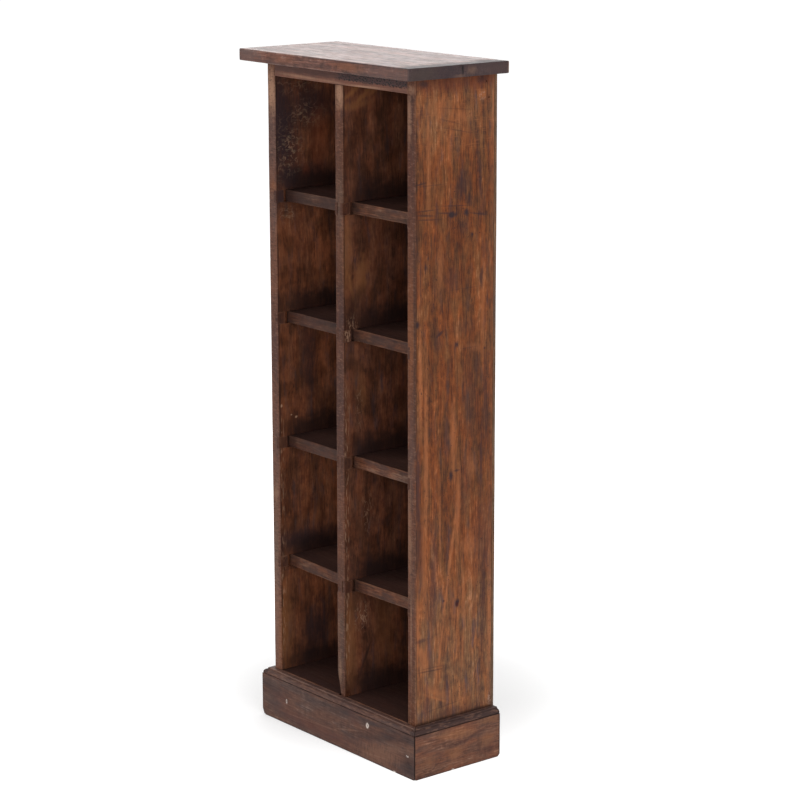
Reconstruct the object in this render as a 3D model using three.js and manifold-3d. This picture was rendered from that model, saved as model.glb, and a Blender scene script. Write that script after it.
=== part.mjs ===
// A storage tower for discs in stained solid wood: ten open compartments in two columns, between two
// side panels and a centre divider, under an overhanging top board and on a moulded plinth.
// Millimetres, +Z up, the open front faces -Y. The origin is on the floor, under the middle of the
// tower's outline.
import * as THREE from "three";
import { ConvexGeometry } from "three/addons/geometries/ConvexGeometry.js";
import { mergeVertices } from "three/addons/utils/BufferGeometryUtils.js";
import Module from "manifold-3d";

const wasm = await Module();
wasm.setup();

// The carcass: two sides, a divider, a bottom board and a thin back.
const carcassWidth = 316;
const carcassDepth = 137.3;
const totalHeight = 949;
const sideThickness = 16;
const dividerThickness = 16;
const dividerOffset = 2;
const bottomThickness = 16;
const bottomReveal = 0.6;
const backThickness = 4;
const backLift = 5;

// Glue-line clearance between pieces that touch.
const seam = 0.3;

// The overhanging top board and the rail under its front edge.
const topThickness = 16;
const topSideOverhang = 23.5;
const topFrontOverhang = 30;
const topArris = 1.5;
const topNosing = 3;
const topRailHeight = 20;
const topRailDepth = 16;

// Shelves enter housings that are cut through to the front, where a plug fills each one.
const shelfThickness = 16;
const shelfSetback = 19;
const housingDepth = 5;
const plugLength = 13;
const grooveDepth = 3;

// Top face of each shelf, from the lowest up, as a share of the height between floor and top board.
const leftShelfShares = [0.1872, 0.3932, 0.5992, 0.7933];
const rightShelfShares = [0.1889, 0.3922, 0.5953, 0.7956];

// The plinth: moulded boards planted on the carcass, with a rail behind the front one. The bottom
// board's face stands above the plinth by its reveal.
const plinthHeight = 70;
const plinthFrontThickness = 13;
const plinthSideThickness = 14;
const plinthRoundRadius = 6;
const plinthQuirk = 0.8;
const plinthFilletHeight = 2;
const baseRailDepth = 16;
const baseRailLift = 3;

// Worn lower corners of the plinth boards: length along the board, then height.
const farToeLength = 10;
const farToeHeight = 15;
const nearToeLength = 5;
const nearToeHeight = 4;

// The divider's foot: a long hand-cut taper on its left arris and a chip out of its right face.
const footTaperWidth = 8.5;
const footTaperDepth = 8;
const footTaperHeight = 37;
const footChipInset = 1;
const footChipDepth = 9.5;
const footChipHeight = 11;
const footChipWidth = 4;

// Nails.
const nailRadius = 0.9;
const nailHeadRadius = 1.6;
const nailHeadThickness = 1;
const nailPointLength = 3;
const plinthNailLength = 25;
const backNailLength = 20;
const nailSides = 10;

// Places of the plinth's front nails: across from the middle, as a share of half the carcass width,
// and up, as a share of the plinth's height.
const plinthNailShares = [
  [-0.72, 0.486],
  [0.447, 0.719],
  [0.98, 0.444],
];
const backNailShares = [0.06, 0.36, 0.66, 0.96];

// Cutting bodies run past what they cut by this much.
const overrun = 2;
const arcSteps = 6;

// Sizes that follow from the ones above.
const topWidth = carcassWidth + 2 * topSideOverhang;
const topDepth = carcassDepth + topFrontOverhang;
const topUnderside = totalHeight - topThickness;
const carcassHead = topUnderside - seam;
const backFaceY = topDepth / 2;
const frontY = backFaceY - carcassDepth;
const innerDepth = carcassDepth - backThickness - seam;
const sideCentreX = (carcassWidth - sideThickness) / 2;
const sideInnerX = carcassWidth / 2 - sideThickness;
const dividerX = -dividerOffset;
const plinthFaceHeight = plinthHeight - plinthFilletHeight - plinthRoundRadius;
const bottomTop = plinthHeight + bottomReveal;
const bottomUnderside = bottomTop - bottomThickness;
const interiorHeight = topUnderside - bottomTop;
const topRailFoot = carcassHead - topRailHeight;

// Finishes.
const finish = (name, colour, roughness) => {
  const material = new THREE.MeshStandardMaterial({ color: colour, roughness, metalness: 0 });
  material.name = name;
  return material;
};
const topFinish = finish("top_stain", 0x7f6560, 0.42);
const sideFinish = finish("side_stain", 0x78492f, 0.5);
const frameFinish = finish("frame_stain", 0x5f4439, 0.55);
const shelfFinish = finish("shelf_stain", 0x543a30, 0.55);
const plugFinish = finish("end_grain", 0x7a6350, 0.7);
const plinthFinish = finish("plinth_stain", 0x5f4a41, 0.55);
const backFinish = finish("back_ply", 0x4a3226, 0.7);
const nailFinish = finish("nail_steel", 0x8f8a82, 0.45);
nailFinish.metalness = 0.9;

// Closed solids from geometry, and back.
function solidOf(geometry) {
  const bare = geometry.clone();
  bare.deleteAttribute("normal");
  bare.deleteAttribute("uv");
  const merged = mergeVertices(bare);
  return new wasm.Manifold(
    new wasm.Mesh({
      numProp: 3,
      vertProperties: merged.attributes.position.array,
      triVerts: new Uint32Array(merged.index.array),
    }),
  );
}

function geometryOf(solid) {
  const mesh = solid.getMesh();
  const geometry = new THREE.BufferGeometry();
  geometry.setAttribute("position", new THREE.BufferAttribute(mesh.vertProperties, mesh.numProp));
  geometry.setIndex(new THREE.BufferAttribute(mesh.triVerts, 1));
  const flat = geometry.toNonIndexed();
  flat.computeVertexNormals();
  return flat;
}

// An outline in X and Z, extruded backwards along Y from the local y = 0.
function extrudeBack(outline, depth) {
  const geometry = new THREE.ExtrudeGeometry(outline, {
    depth,
    bevelEnabled: false,
    curveSegments: arcSteps,
  });
  return geometry.rotateX(Math.PI / 2).translate(0, depth, 0);
}

// An outline in Y and Z, extruded along X from the local x = 0.
function extrudeAcross(outline, length) {
  const geometry = new THREE.ExtrudeGeometry(outline, {
    depth: length,
    bevelEnabled: false,
    curveSegments: arcSteps,
  });
  const turn = new THREE.Matrix4().makeBasis(
    new THREE.Vector3(0, 1, 0),
    new THREE.Vector3(0, 0, 1),
    new THREE.Vector3(1, 0, 0),
  );
  return geometry.applyMatrix4(turn);
}

// An outline in X and Y, extruded up along Z from the local z = 0.
function extrudeUp(outline, height) {
  return new THREE.ExtrudeGeometry(outline, { depth: height, bevelEnabled: false });
}

function polygon(points) {
  return new THREE.Shape(points.map(([u, v]) => new THREE.Vector2(u, v)));
}

// A box between two corners.
function block(low, high) {
  const size = high.map((value, axis) => value - low[axis]);
  const centre = high.map((value, axis) => (value + low[axis]) / 2);
  return new THREE.BoxGeometry(...size).translate(...centre);
}

function piece(name, geometry, material, place = [0, 0, 0], turn = 0) {
  const mesh = new THREE.Mesh(geometry, material);
  mesh.name = name;
  mesh.position.set(...place);
  mesh.rotation.z = turn;
  return mesh;
}

// Shelves, one record each, with the faces of the uprights on their left and right.
const columns = [
  {
    name: "left",
    leftFace: -sideInnerX,
    rightFace: dividerX - dividerThickness / 2,
    shares: leftShelfShares,
  },
  {
    name: "right",
    leftFace: dividerX + dividerThickness / 2,
    rightFace: sideInnerX,
    shares: rightShelfShares,
  },
];
const shelves = columns.flatMap(({ name, leftFace, rightFace, shares }) =>
  shares.map((share, row) => ({
    column: name,
    leftFace,
    rightFace,
    row: row + 1,
    top: bottomTop + share * interiorHeight,
  })),
);
const shelfHousing = ({ top }) => [top - shelfThickness - seam, top + seam];
const housingsOf = (name) => shelves.filter(({ column }) => column === name).map(shelfHousing);
const bottomHousing = [bottomUnderside - seam, bottomTop + seam];

// An upright board seen from the front, with housings, listed from the lowest up, in its edges.
function uprightOutline(thickness, foot, head, leftHousings, rightHousings) {
  const half = thickness / 2;
  const right = rightHousings.flatMap(([low, high]) => [
    [half, low],
    [half - housingDepth, low],
    [half - housingDepth, high],
    [half, high],
  ]);
  const left = leftHousings.flatMap(([low, high]) => [
    [-half, low],
    [housingDepth - half, low],
    [housingDepth - half, high],
    [-half, high],
  ]);
  return polygon([[-half, foot], [half, foot], ...right, [half, head], [-half, head], ...left.reverse()]);
}

// A wire nail with its flat head at the local y = 0 and its point towards +Y, grown by a clearance.
function nail(length, clearance) {
  const shank = nailRadius + clearance;
  const head = nailHeadRadius + clearance;
  const profile = [
    [0, -clearance],
    [head, -clearance],
    [head, nailHeadThickness + clearance],
    [shank, nailHeadThickness + clearance],
    [shank, length - nailPointLength + clearance],
    [0, length + clearance],
  ];
  const points = profile.map(([radius, along]) => new THREE.Vector2(radius, along));
  return new THREE.LatheGeometry(points, nailSides);
}

// A nail's clearance body that also opens the face it was driven through.
function nailHole(length, place, turn) {
  const hole = solidOf(nail(length, seam).rotateZ(turn).translate(...place));
  const mouth = new THREE.CylinderGeometry(
    nailHeadRadius + seam,
    nailHeadRadius + seam,
    overrun,
    nailSides,
  );
  mouth.translate(0, -overrun / 2 + seam, 0);
  return hole.add(solidOf(mouth.rotateZ(turn).translate(...place)));
}

const plinthNails = plinthNailShares.map(([across, up], index) => ({
  name: `plinth_nail_${index + 1}`,
  length: plinthNailLength,
  place: [(across * carcassWidth) / 2, frontY - plinthFrontThickness + seam, up * plinthHeight],
  turn: 0,
}));
const backHeight = carcassHead - backLift;
const backNails = [-1, 1].flatMap((direction) =>
  backNailShares.map((share, index) => ({
    name: `back_nail_${direction < 0 ? "left" : "right"}_${index + 1}`,
    length: backNailLength,
    place: [direction * sideCentreX, backFaceY - seam, backLift + share * backHeight],
    turn: Math.PI,
  })),
);
const nails = [...plinthNails, ...backNails];

// Cuts the clearance of every nail from a piece whose geometry is already at its place.
function drilled(geometry) {
  let solid = solidOf(geometry);
  for (const { length, place, turn } of nails) solid = solid.subtract(nailHole(length, place, turn));
  return geometryOf(solid);
}

// The top board: small arrises, and a larger rounding under the front edge.
function topBoard() {
  const section = new THREE.Shape();
  section.moveTo(topNosing, 0);
  section.lineTo(topDepth - topArris, 0);
  section.absarc(topDepth - topArris, topArris, topArris, -Math.PI / 2, 0, false);
  section.lineTo(topDepth, topThickness - topArris);
  section.absarc(topDepth - topArris, topThickness - topArris, topArris, 0, Math.PI / 2, false);
  section.lineTo(topArris, topThickness);
  section.absarc(topArris, topThickness - topArris, topArris, Math.PI / 2, Math.PI, false);
  section.lineTo(0, topNosing);
  section.absarc(topNosing, topNosing, topNosing, Math.PI, 1.5 * Math.PI, false);
  const place = [-topWidth / 2, -topDepth / 2, topUnderside];
  return piece("top_board", extrudeAcross(section, topWidth), topFinish, place);
}

// A side panel, from the floor to the top board, housed on its inner face.
function sidePanel(name, direction) {
  const housings = [bottomHousing, ...housingsOf(direction < 0 ? "left" : "right")];
  const left = direction > 0 ? housings : [];
  const right = direction < 0 ? housings : [];
  const outline = uprightOutline(sideThickness, 0, carcassHead, left, right);
  const board = extrudeBack(outline, innerDepth).translate(direction * sideCentreX, frontY, 0);
  return piece(name, drilled(board), sideFinish);
}

// The divider stands in a groove of the bottom board and is notched round the top rail.
function centreDivider() {
  const foot = bottomTop - grooveDepth + seam;
  const leftHousings = housingsOf("left");
  const rightHousings = housingsOf("right");
  const outline = uprightOutline(dividerThickness, foot, carcassHead, leftHousings, rightHousings);
  const half = dividerThickness / 2;
  const railNotch = block(
    [-half - overrun, -overrun, topRailFoot - seam],
    [half + overrun, topRailDepth + seam, carcassHead + overrun],
  );
  // The taper's wedge is a corner cut off by one plane, which meets the foot and both faces.
  const widthRatio = overrun / footTaperWidth;
  const depthRatio = overrun / footTaperDepth;
  const taper = new ConvexGeometry([
    new THREE.Vector3(-overrun, -overrun, 0),
    new THREE.Vector3(footTaperWidth * (1 + depthRatio), -overrun, 0),
    new THREE.Vector3(-overrun, footTaperDepth * (1 + widthRatio), 0),
    new THREE.Vector3(-overrun, -overrun, footTaperHeight * (1 + widthRatio + depthRatio)),
  ]).translate(-half, 0, bottomTop);
  const chipOutline = polygon([
    [footChipInset, 0],
    [footChipInset + footChipDepth, 0],
    [footChipInset, footChipHeight],
  ]);
  const chip = extrudeAcross(chipOutline, footChipWidth + overrun);
  chip.translate(half - footChipWidth, 0, bottomTop);
  const solid = solidOf(extrudeBack(outline, innerDepth))
    .subtract(solidOf(railNotch))
    .subtract(solidOf(taper))
    .subtract(solidOf(chip));
  return piece("centre_divider", geometryOf(solid), frameFinish, [dividerX, frontY, 0]);
}

// The bottom board enters the sides' housings and carries the divider in a groove.
function bottomBoard() {
  const end = sideInnerX + housingDepth - seam;
  const groove = dividerThickness / 2 + seam;
  const outline = polygon([
    [-end, 0],
    [end, 0],
    [end, bottomThickness],
    [dividerX + groove, bottomThickness],
    [dividerX + groove, bottomThickness - grooveDepth],
    [dividerX - groove, bottomThickness - grooveDepth],
    [dividerX - groove, bottomThickness],
    [-end, bottomThickness],
  ]);
  const place = [0, frontY, bottomUnderside];
  return piece("bottom_board", extrudeBack(outline, innerDepth), frameFinish, place);
}

function backPanel() {
  const board = block(
    [-carcassWidth / 2, backFaceY - backThickness, backLift],
    [carcassWidth / 2, backFaceY, carcassHead],
  );
  return piece("back_panel", drilled(board), backFinish);
}

// A rail between the two sides, flush with their front edges.
function frontRail(name, foot, head, depth) {
  const end = sideInnerX - seam;
  const board = block([-end, frontY, foot], [end, frontY + depth, head]);
  return piece(name, drilled(board), frameFinish);
}

function shelf({ column, leftFace, rightFace, row, top }) {
  const end = housingDepth - seam;
  const board = block(
    [leftFace - end, shelfSetback, -shelfThickness],
    [rightFace + end, innerDepth, 0],
  );
  return piece(`shelf_${column}_${row}`, board, shelfFinish, [0, frontY, top]);
}

// The two plugs that fill a shelf's housings in front of it, flush with the uprights.
function plugs({ column, leftFace, rightFace, row, top }) {
  const width = housingDepth - seam;
  const plug = (end, x) => {
    const body = block([0, 0, -shelfThickness], [width, plugLength, 0]);
    return piece(`plug_${column}_${row}_${end}`, body, plugFinish, [x, frontY, top]);
  };
  return [plug("left_end", leftFace - width), plug("right_end", rightFace)];
}

// Section of a plinth board, out from the carcass and up: a flat face, a quirk, a quarter round and
// a flat fillet.
function mouldingSection(thickness) {
  const roundFoot = thickness - plinthQuirk;
  const roundHead = roundFoot - plinthRoundRadius;
  const section = new THREE.Shape();
  section.moveTo(seam, 0);
  section.lineTo(thickness, 0);
  section.lineTo(thickness, plinthFaceHeight);
  section.lineTo(roundFoot, plinthFaceHeight);
  section.absarc(roundHead, plinthFaceHeight, plinthRoundRadius, 0, Math.PI / 2, false);
  section.lineTo(roundHead, plinthHeight);
  section.lineTo(seam, plinthHeight);
  return section;
}

// A plinth board along the local +X, its back against y = 0 and its face towards +Y. Each end has a
// worn lower corner and is mitred or square.
function moulding(length, thickness, start, end) {
  const bar = solidOf(extrudeAcross(mouldingSection(thickness), length));
  const elevation = new THREE.Shape();
  elevation.moveTo(start.toeLength, 0);
  elevation.lineTo(length - end.toeLength, 0);
  elevation.quadraticCurveTo(length, 0, length, end.toeHeight);
  elevation.lineTo(length, plinthHeight + overrun);
  elevation.lineTo(0, plinthHeight + overrun);
  elevation.lineTo(0, start.toeHeight);
  elevation.quadraticCurveTo(0, 0, start.toeLength, 0);
  const face = solidOf(extrudeBack(elevation, thickness + overrun));
  const startCut = start.mitred ? thickness : 0;
  const endCut = end.mitred ? thickness : 0;
  const startGap = start.mitred ? seam : 0;
  const endGap = end.mitred ? seam : 0;
  const plan = polygon([
    [startCut + startGap, 0],
    [length - endCut - endGap, 0],
    [length - endGap, thickness],
    [length - endGap, thickness + overrun],
    [startGap, thickness + overrun],
    [startGap, thickness],
  ]);
  const cut = solidOf(extrudeUp(plan, plinthHeight + overrun));
  return bar.intersect(face).intersect(cut);
}

const farToe = { toeLength: farToeLength, toeHeight: farToeHeight };
const nearToe = { toeLength: nearToeLength, toeHeight: nearToeHeight };

function plinthFront() {
  const length = carcassWidth + 2 * plinthSideThickness;
  const start = { ...nearToe, mitred: true };
  const end = { ...farToe, mitred: true };
  const board = geometryOf(moulding(length, plinthFrontThickness, start, end));
  board.rotateZ(Math.PI).translate(length / 2, frontY, 0);
  return piece("plinth_front", drilled(board), plinthFinish);
}

function plinthSide(name, direction) {
  const length = carcassDepth + plinthFrontThickness;
  const back = { ...nearToe, mitred: false };
  const toe = direction > 0 ? nearToe : farToe;
  const front = { ...toe, mitred: true };
  const solid =
    direction > 0
      ? moulding(length, plinthSideThickness, back, front)
      : moulding(length, plinthSideThickness, front, back);
  const startY = direction > 0 ? backFaceY : backFaceY - length;
  const place = [(direction * carcassWidth) / 2, startY, 0];
  const turn = (-direction * Math.PI) / 2;
  return piece(name, geometryOf(solid), plinthFinish, place, turn);
}

// The tower.
const carcass = new THREE.Group();
carcass.add(
  sidePanel("side_left", -1),
  sidePanel("side_right", 1),
  centreDivider(),
  bottomBoard(),
  backPanel(),
  frontRail("top_rail", topRailFoot, carcassHead, topRailDepth),
  frontRail("base_rail", baseRailLift, bottomUnderside - seam, baseRailDepth),
);

const shelving = new THREE.Group();
for (const record of shelves) shelving.add(shelf(record), ...plugs(record));

const plinth = new THREE.Group();
plinth.add(plinthFront(), plinthSide("plinth_left", -1), plinthSide("plinth_right", 1));

const fasteners = new THREE.Group();
for (const { name, length, place, turn } of nails)
  fasteners.add(piece(name, nail(length, 0), nailFinish, place, turn));

const tower = new THREE.Group();
tower.add(topBoard(), carcass, shelving, plinth, fasteners);

export default tower;
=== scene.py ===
# %% [markdown]
# # A stained wooden tower for discs
#
# The real tower is solid wood: boards planed by hand, joined in housings, stained a warm brown and
# rubbed with wax. Its charm is in small things: softened arrises, a divider that leans a little,
# grain that wanders round knots, dark polish in the corners, helped there by painted shade. The
# construction already comes with the frame, so every cell below gives one of its boards that life.

# %% Load the construction
import math
from itertools import product

import bmesh
import bpy
from mathutils import Matrix, Vector


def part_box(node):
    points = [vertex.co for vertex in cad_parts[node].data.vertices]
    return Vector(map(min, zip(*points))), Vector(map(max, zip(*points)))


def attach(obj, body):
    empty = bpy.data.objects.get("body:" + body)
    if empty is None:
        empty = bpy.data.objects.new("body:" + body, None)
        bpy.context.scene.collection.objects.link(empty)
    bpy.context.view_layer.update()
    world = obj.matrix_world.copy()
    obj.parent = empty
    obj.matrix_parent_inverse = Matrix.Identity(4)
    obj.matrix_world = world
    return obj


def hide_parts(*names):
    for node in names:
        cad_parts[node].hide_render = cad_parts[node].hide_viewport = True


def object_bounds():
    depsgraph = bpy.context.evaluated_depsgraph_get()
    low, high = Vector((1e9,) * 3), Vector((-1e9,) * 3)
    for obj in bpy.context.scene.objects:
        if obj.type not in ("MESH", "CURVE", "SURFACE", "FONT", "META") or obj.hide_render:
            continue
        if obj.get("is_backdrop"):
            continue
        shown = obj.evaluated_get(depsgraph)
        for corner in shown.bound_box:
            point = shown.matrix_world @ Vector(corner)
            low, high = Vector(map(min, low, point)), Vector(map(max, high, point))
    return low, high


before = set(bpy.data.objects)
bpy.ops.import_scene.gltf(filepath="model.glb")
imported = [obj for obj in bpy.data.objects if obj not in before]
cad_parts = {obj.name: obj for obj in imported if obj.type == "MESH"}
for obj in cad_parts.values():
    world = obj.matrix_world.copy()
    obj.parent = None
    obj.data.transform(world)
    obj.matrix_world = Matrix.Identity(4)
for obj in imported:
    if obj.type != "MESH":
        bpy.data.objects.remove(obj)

cad_low, cad_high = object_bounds()
MM = 0.001
PER_METRE = 1000.0
print("boards and fittings in the frame:", len(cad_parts))
print("outline in mm:", [round(side * PER_METRE, 1) for side in cad_high - cad_low])

# %% [markdown]
# ## Camera and studio
#
# The camera stands to the right of the front, a little above the tower, with a long lens. A long
# lens keeps upright boards nearly parallel, which is why furniture is photographed from far away.
# The turn comes from three plain angles, so that it can be read and changed.

# %% The camera
CAMERA_PLACE = (2.7201, -2.14405, 1.2798)
CAMERA_AZIMUTH = 51.132
CAMERA_DIP = 12.978
CAMERA_ROLL = -0.107
CAMERA_LENS = 117.846

camera_data = bpy.data.cameras.new("camera")
camera_data.lens = CAMERA_LENS
camera = bpy.data.objects.new("camera", camera_data)
bpy.context.scene.collection.objects.link(camera)
aim = Matrix.Rotation(math.radians(CAMERA_AZIMUTH), 4, "Z")
aim @= Matrix.Rotation(math.radians(90 - CAMERA_DIP), 4, "X")
aim @= Matrix.Rotation(math.radians(CAMERA_ROLL), 4, "Z")
camera.matrix_world = Matrix.Translation(CAMERA_PLACE) @ aim
bpy.context.scene.camera = camera
bpy.context.scene.view_settings.view_transform = "Standard"
print("camera looks along", [round(part, 3) for part in aim.to_3x3() @ Vector((0, 0, -1))])

# %% [markdown]
# Everything below is made with node trees, in Geometry Nodes for shape and in shader nodes for
# finish. What a node gives is held as a signal, and plain arithmetic on signals adds the nodes
# that do the sum. So a line such as `dashes * zone` reads as what it works out.

# %% Signals
class Signal:
    """One output of a node. Arithmetic on it adds the node that does the sum."""

    def __init__(self, socket):
        self.socket = socket
        self.tree = socket.id_data

    def __add__(self, other):
        return calc("ADD", self, other)

    def __sub__(self, other):
        return calc("SUBTRACT", self, other)

    def __rsub__(self, other):
        return calc("SUBTRACT", other, self)

    def __mul__(self, other):
        return calc("MULTIPLY", self, other)

    def __truediv__(self, other):
        return calc("DIVIDE", self, other)

    def __abs__(self):
        return calc("ABSOLUTE", self)


class Outputs:
    """The outputs of a node, by name or by number."""

    def __init__(self, node):
        self.node = node

    def __getitem__(self, key):
        return Signal(self.node.outputs[key])

    def __iter__(self):
        return map(Signal, self.node.outputs)


def add(tree, kind, inputs=None, **settings):
    """Adds a node. An input is a plain value or a signal."""
    made = tree.nodes.new(kind)
    for name, value in settings.items():
        setattr(made, name, value)
    for key, value in (inputs or {}).items():
        if isinstance(value, Signal):
            tree.links.new(value.socket, made.inputs[key])
        else:
            made.inputs[key].default_value = value
    return Outputs(made)


def home(*terms):
    """The tree that the signals among the terms belong to."""
    return next(term.tree for term in terms if isinstance(term, Signal))


def calc(operation, *terms):
    """Arithmetic on numbers, or on vectors where one of the signals is a vector."""
    kinds = {term.socket.type for term in terms if isinstance(term, Signal)}
    on_vectors = bool(kinds & {"VECTOR", "RGBA"})
    kind = "ShaderNodeVectorMath" if on_vectors else "ShaderNodeMath"
    made = add(home(*terms), kind, dict(enumerate(terms)), operation=operation)
    return made["Value" if operation in ("LENGTH", "DISTANCE") else 0]


print("a signal can be added, taken away, multiplied and divided")

# %% Helpers for node trees
SOCKETS = {
    "number": "NodeSocketFloat",
    "count": "NodeSocketInt",
    "yes or no": "NodeSocketBool",
    "vector": "NodeSocketVector",
    "colour": "NodeSocketColor",
    "mesh": "NodeSocketGeometry",
    "object": "NodeSocketObject",
    "material": "NodeSocketMaterial",
}


def new_group(name, kind, inputs, outputs):
    """A new group with named sockets: the tree, what it is given, and what it has to fill."""
    tree = bpy.data.node_groups.new(name, kind)
    for direction, sockets in (("INPUT", inputs), ("OUTPUT", outputs)):
        for label, meaning in sockets.items():
            tree.interface.new_socket(label, in_out=direction, socket_type=SOCKETS[meaning])
    given = Outputs(tree.nodes.new("NodeGroupInput"))
    return tree, given, tree.nodes.new("NodeGroupOutput").inputs


def new_material(name):
    """A new material, its tree still empty."""
    material = bpy.data.materials.new(name)
    material.use_nodes = True
    material.node_tree.nodes.clear()
    return material


def fill(wanted, **results):
    """Hands results to the sockets of those names."""
    for name, result in results.items():
        result.tree.links.new(result.socket, wanted[name])


def most(one, other):
    """The larger of two."""
    return calc("MAXIMUM", one, other)


def least(one, other):
    """The smaller of two."""
    return calc("MINIMUM", one, other)


def scaled(place, factor):
    """A vector times one number."""
    inputs = {"Vector": place, "Scale": factor}
    return add(home(place, factor), "ShaderNodeVectorMath", inputs, operation="SCALE")["Vector"]


def parts_of(place):
    """The X, Y and Z of a vector."""
    return add(place.tree, "ShaderNodeSeparateXYZ", {0: place})


def joined(x, y, z):
    """A vector from its X, Y and Z."""
    return add(home(x, y, z), "ShaderNodeCombineXYZ", {0: x, 1: y, 2: z})[0]


def ease(value, low, high, start=0.0, end=1.0):
    """Goes smoothly from start to end while the value goes from low to high."""
    inputs = {"Value": value, "From Min": low, "From Max": high, "To Min": start, "To Max": end}
    return add(value.tree, "ShaderNodeMapRange", inputs, interpolation_type="SMOOTHSTEP")[0]


def noise(place, size, detail=2.0, roughness=0.5):
    """Cloudy noise whose features have the given size along X, Y and Z."""
    inputs = {"Vector": place / size, "Scale": 1.0, "Detail": detail, "Roughness": roughness}
    return add(place.tree, "ShaderNodeTexNoise", inputs)


print("kinds of socket:", ", ".join(SOCKETS))

# %% [markdown]
# The studio is a white floor under soft lamps. Wide panels in front, at the right and overhead
# give most of the light. A small one at the left front is weak, but it is what puts a narrow
# shadow on the left end of each shelf, and one behind lends the top its sheen. The floor and the
# world look white to the camera and in reflections, while the light that they throw on the wood
# stays moderate. Near the tower the floor glows less, so that its faint shadow stays visible.

# %% Floor, world and lamps
FLOOR_SIZE = 40.0
WORLD_GLOW = 0.42
FLOOR_ALBEDO = 0.62
GLOW_NEAR, GLOW_FAR = 0.38, 0.80
GLOW_REACH = (0.14, 0.42)
SHADE_MIDDLE = (-0.15, 0.146, 0.0)


def seen_directly(tree):
    """1 for what the camera, a reflection or a clear material sees, 0 for light on other things."""
    path = add(tree, "ShaderNodeLightPath")
    return most(most(path["Is Camera Ray"], path["Is Glossy Ray"]), path["Is Transmission Ray"])


world = bpy.data.worlds.new("studio")
world.use_nodes = True
bpy.context.scene.world = world
sky = world.node_tree
sky.nodes["Background"].inputs["Color"].default_value = (1.0, 1.0, 1.0, 1.0)
fill(sky.nodes["Background"].inputs, Strength=ease(seen_directly(sky), 0.0, 1.0, WORLD_GLOW, 1.0))

floor_mesh = bpy.data.meshes.new("floor")
half_floor = FLOOR_SIZE / 2
corners = [(-1, -1), (1, -1), (1, 1), (-1, 1)]
floor_mesh.from_pydata([(x * half_floor, y * half_floor, 0) for x, y in corners], [], [(0, 1, 2, 3)])
floor = bpy.data.objects.new("floor", floor_mesh)
bpy.context.scene.collection.objects.link(floor)
floor_paint = new_material("white floor")
floor_tree = floor_paint.node_tree
matt = add(floor_tree, "ShaderNodeBsdfDiffuse", {"Color": (FLOOR_ALBEDO,) * 3 + (1.0,)})[0]
distance = calc("DISTANCE", add(floor_tree, "ShaderNodeTexCoord")["Object"], SHADE_MIDDLE)
away = ease(distance, *GLOW_REACH, GLOW_NEAR, GLOW_FAR)
lit = add(floor_tree, "ShaderNodeEmission", {"Strength": seen_directly(floor_tree) * away})[0]
both = add(floor_tree, "ShaderNodeAddShader", {0: matt, 1: lit})[0]
add(floor_tree, "ShaderNodeOutputMaterial", {"Surface": both})
floor_mesh.materials.append(floor_paint)
floor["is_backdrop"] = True

TOWER_MIDDLE = (0.0, 0.0, 0.47)
LAMPS = {
    "left edge": {"place": (-2.1, -2.6, 1.7), "size": (1.1, 1.6), "power": 15.0},
    "front fill": {"place": (1.3, -3.3, 1.15), "size": (1.7, 1.7), "power": 43.0},
    "side fill": {"place": (3.2, -0.9, 1.3), "size": (2.4, 2.4), "power": 55.0},
    "overhead": {"place": (-0.2, 0.3, 3.2), "size": (2.6, 2.6), "power": 34.0},
    "sheen": {"place": (-2.6, 2.4, 2.0), "size": (2.2, 1.6), "power": 19.0},
}
for name, lamp in LAMPS.items():
    light = bpy.data.lights.new(name, "AREA")
    light.shape = "RECTANGLE"
    light.size, light.size_y = lamp["size"]
    light.energy = lamp["power"]
    holder = bpy.data.objects.new(name, light)
    bpy.context.scene.collection.objects.link(holder)
    holder.location = lamp["place"]
    towards = Vector(TOWER_MIDDLE) - Vector(lamp["place"])
    holder.rotation_euler = towards.to_track_quat("-Z", "Y").to_euler()
    print(f"{name}: {towards.length:.2f} m from the tower")

# %% [markdown]
# ## What wood looks like
#
# Wood is a solid pattern, not a picture glued on. Growth rings lie round the pith, streaks and
# fibres run along the board, and pores are short dark dashes. So the pattern is made in a board's
# own space, in millimetres with Z along the grain: faces, edges and end grain then agree by
# themselves. It is one group, used in every wood here with its own values.

# %% The figure of the wood, as a shader group
PITH_ACROSS = 62.0
PITH_BEHIND = 26.0
PITH_LEAN = 0.035
WANDER_SIZE = (48.0, 48.0, 210.0)
STREAK_STRETCH = 26.0
BAND_SIZE = (22.0, 22.0, 190.0)
FIBRE_SIZE = (1.7, 1.7, 22.0)
PORE_SIZE = (1.15, 1.15, 9.5)
PORE_ZONE_SIZE = (15.0, 15.0, 110.0)
CURL_SIZE = (26.0, 26.0, 6.5)
CURL_ZONE_SIZE = (40.0, 40.0, 70.0)

figure, given, wanted = new_group(
    "wood figure",
    "ShaderNodeTree",
    {"Place": "vector", "Ring": "number", "Streak": "number", "Wander": "number"},
    {"Tone": "number", "Bands": "number", "Fibre": "number", "Pores": "number", "Curl": "number"},
)
bend = noise(given["Place"], WANDER_SIZE)["Color"] - (0.5, 0.5, 0.5)
bent = given["Place"] + scaled(bend, given["Wander"])
x, y, z = parts_of(bent)
across = x + (z * PITH_LEAN + PITH_ACROSS)
radius = calc("LENGTH", joined(across, y + PITH_BEHIND, 0.0))
rings = add(
    figure,
    "ShaderNodeTexNoise",
    {"W": radius / given["Ring"], "Scale": 1.0, "Detail": 4.0, "Roughness": 0.68},
    noise_dimensions="1D",
)["Fac"]
streak_size = joined(given["Streak"], given["Streak"], given["Streak"] * STREAK_STRETCH)
streaks = noise(bent, streak_size, detail=4.0, roughness=0.66)["Fac"]
dashes = ease(noise(given["Place"], PORE_SIZE, 1.0)["Fac"], 0.57, 0.68)
zone = ease(noise(bent, PORE_ZONE_SIZE)["Fac"], 0.40, 0.60)
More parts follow.
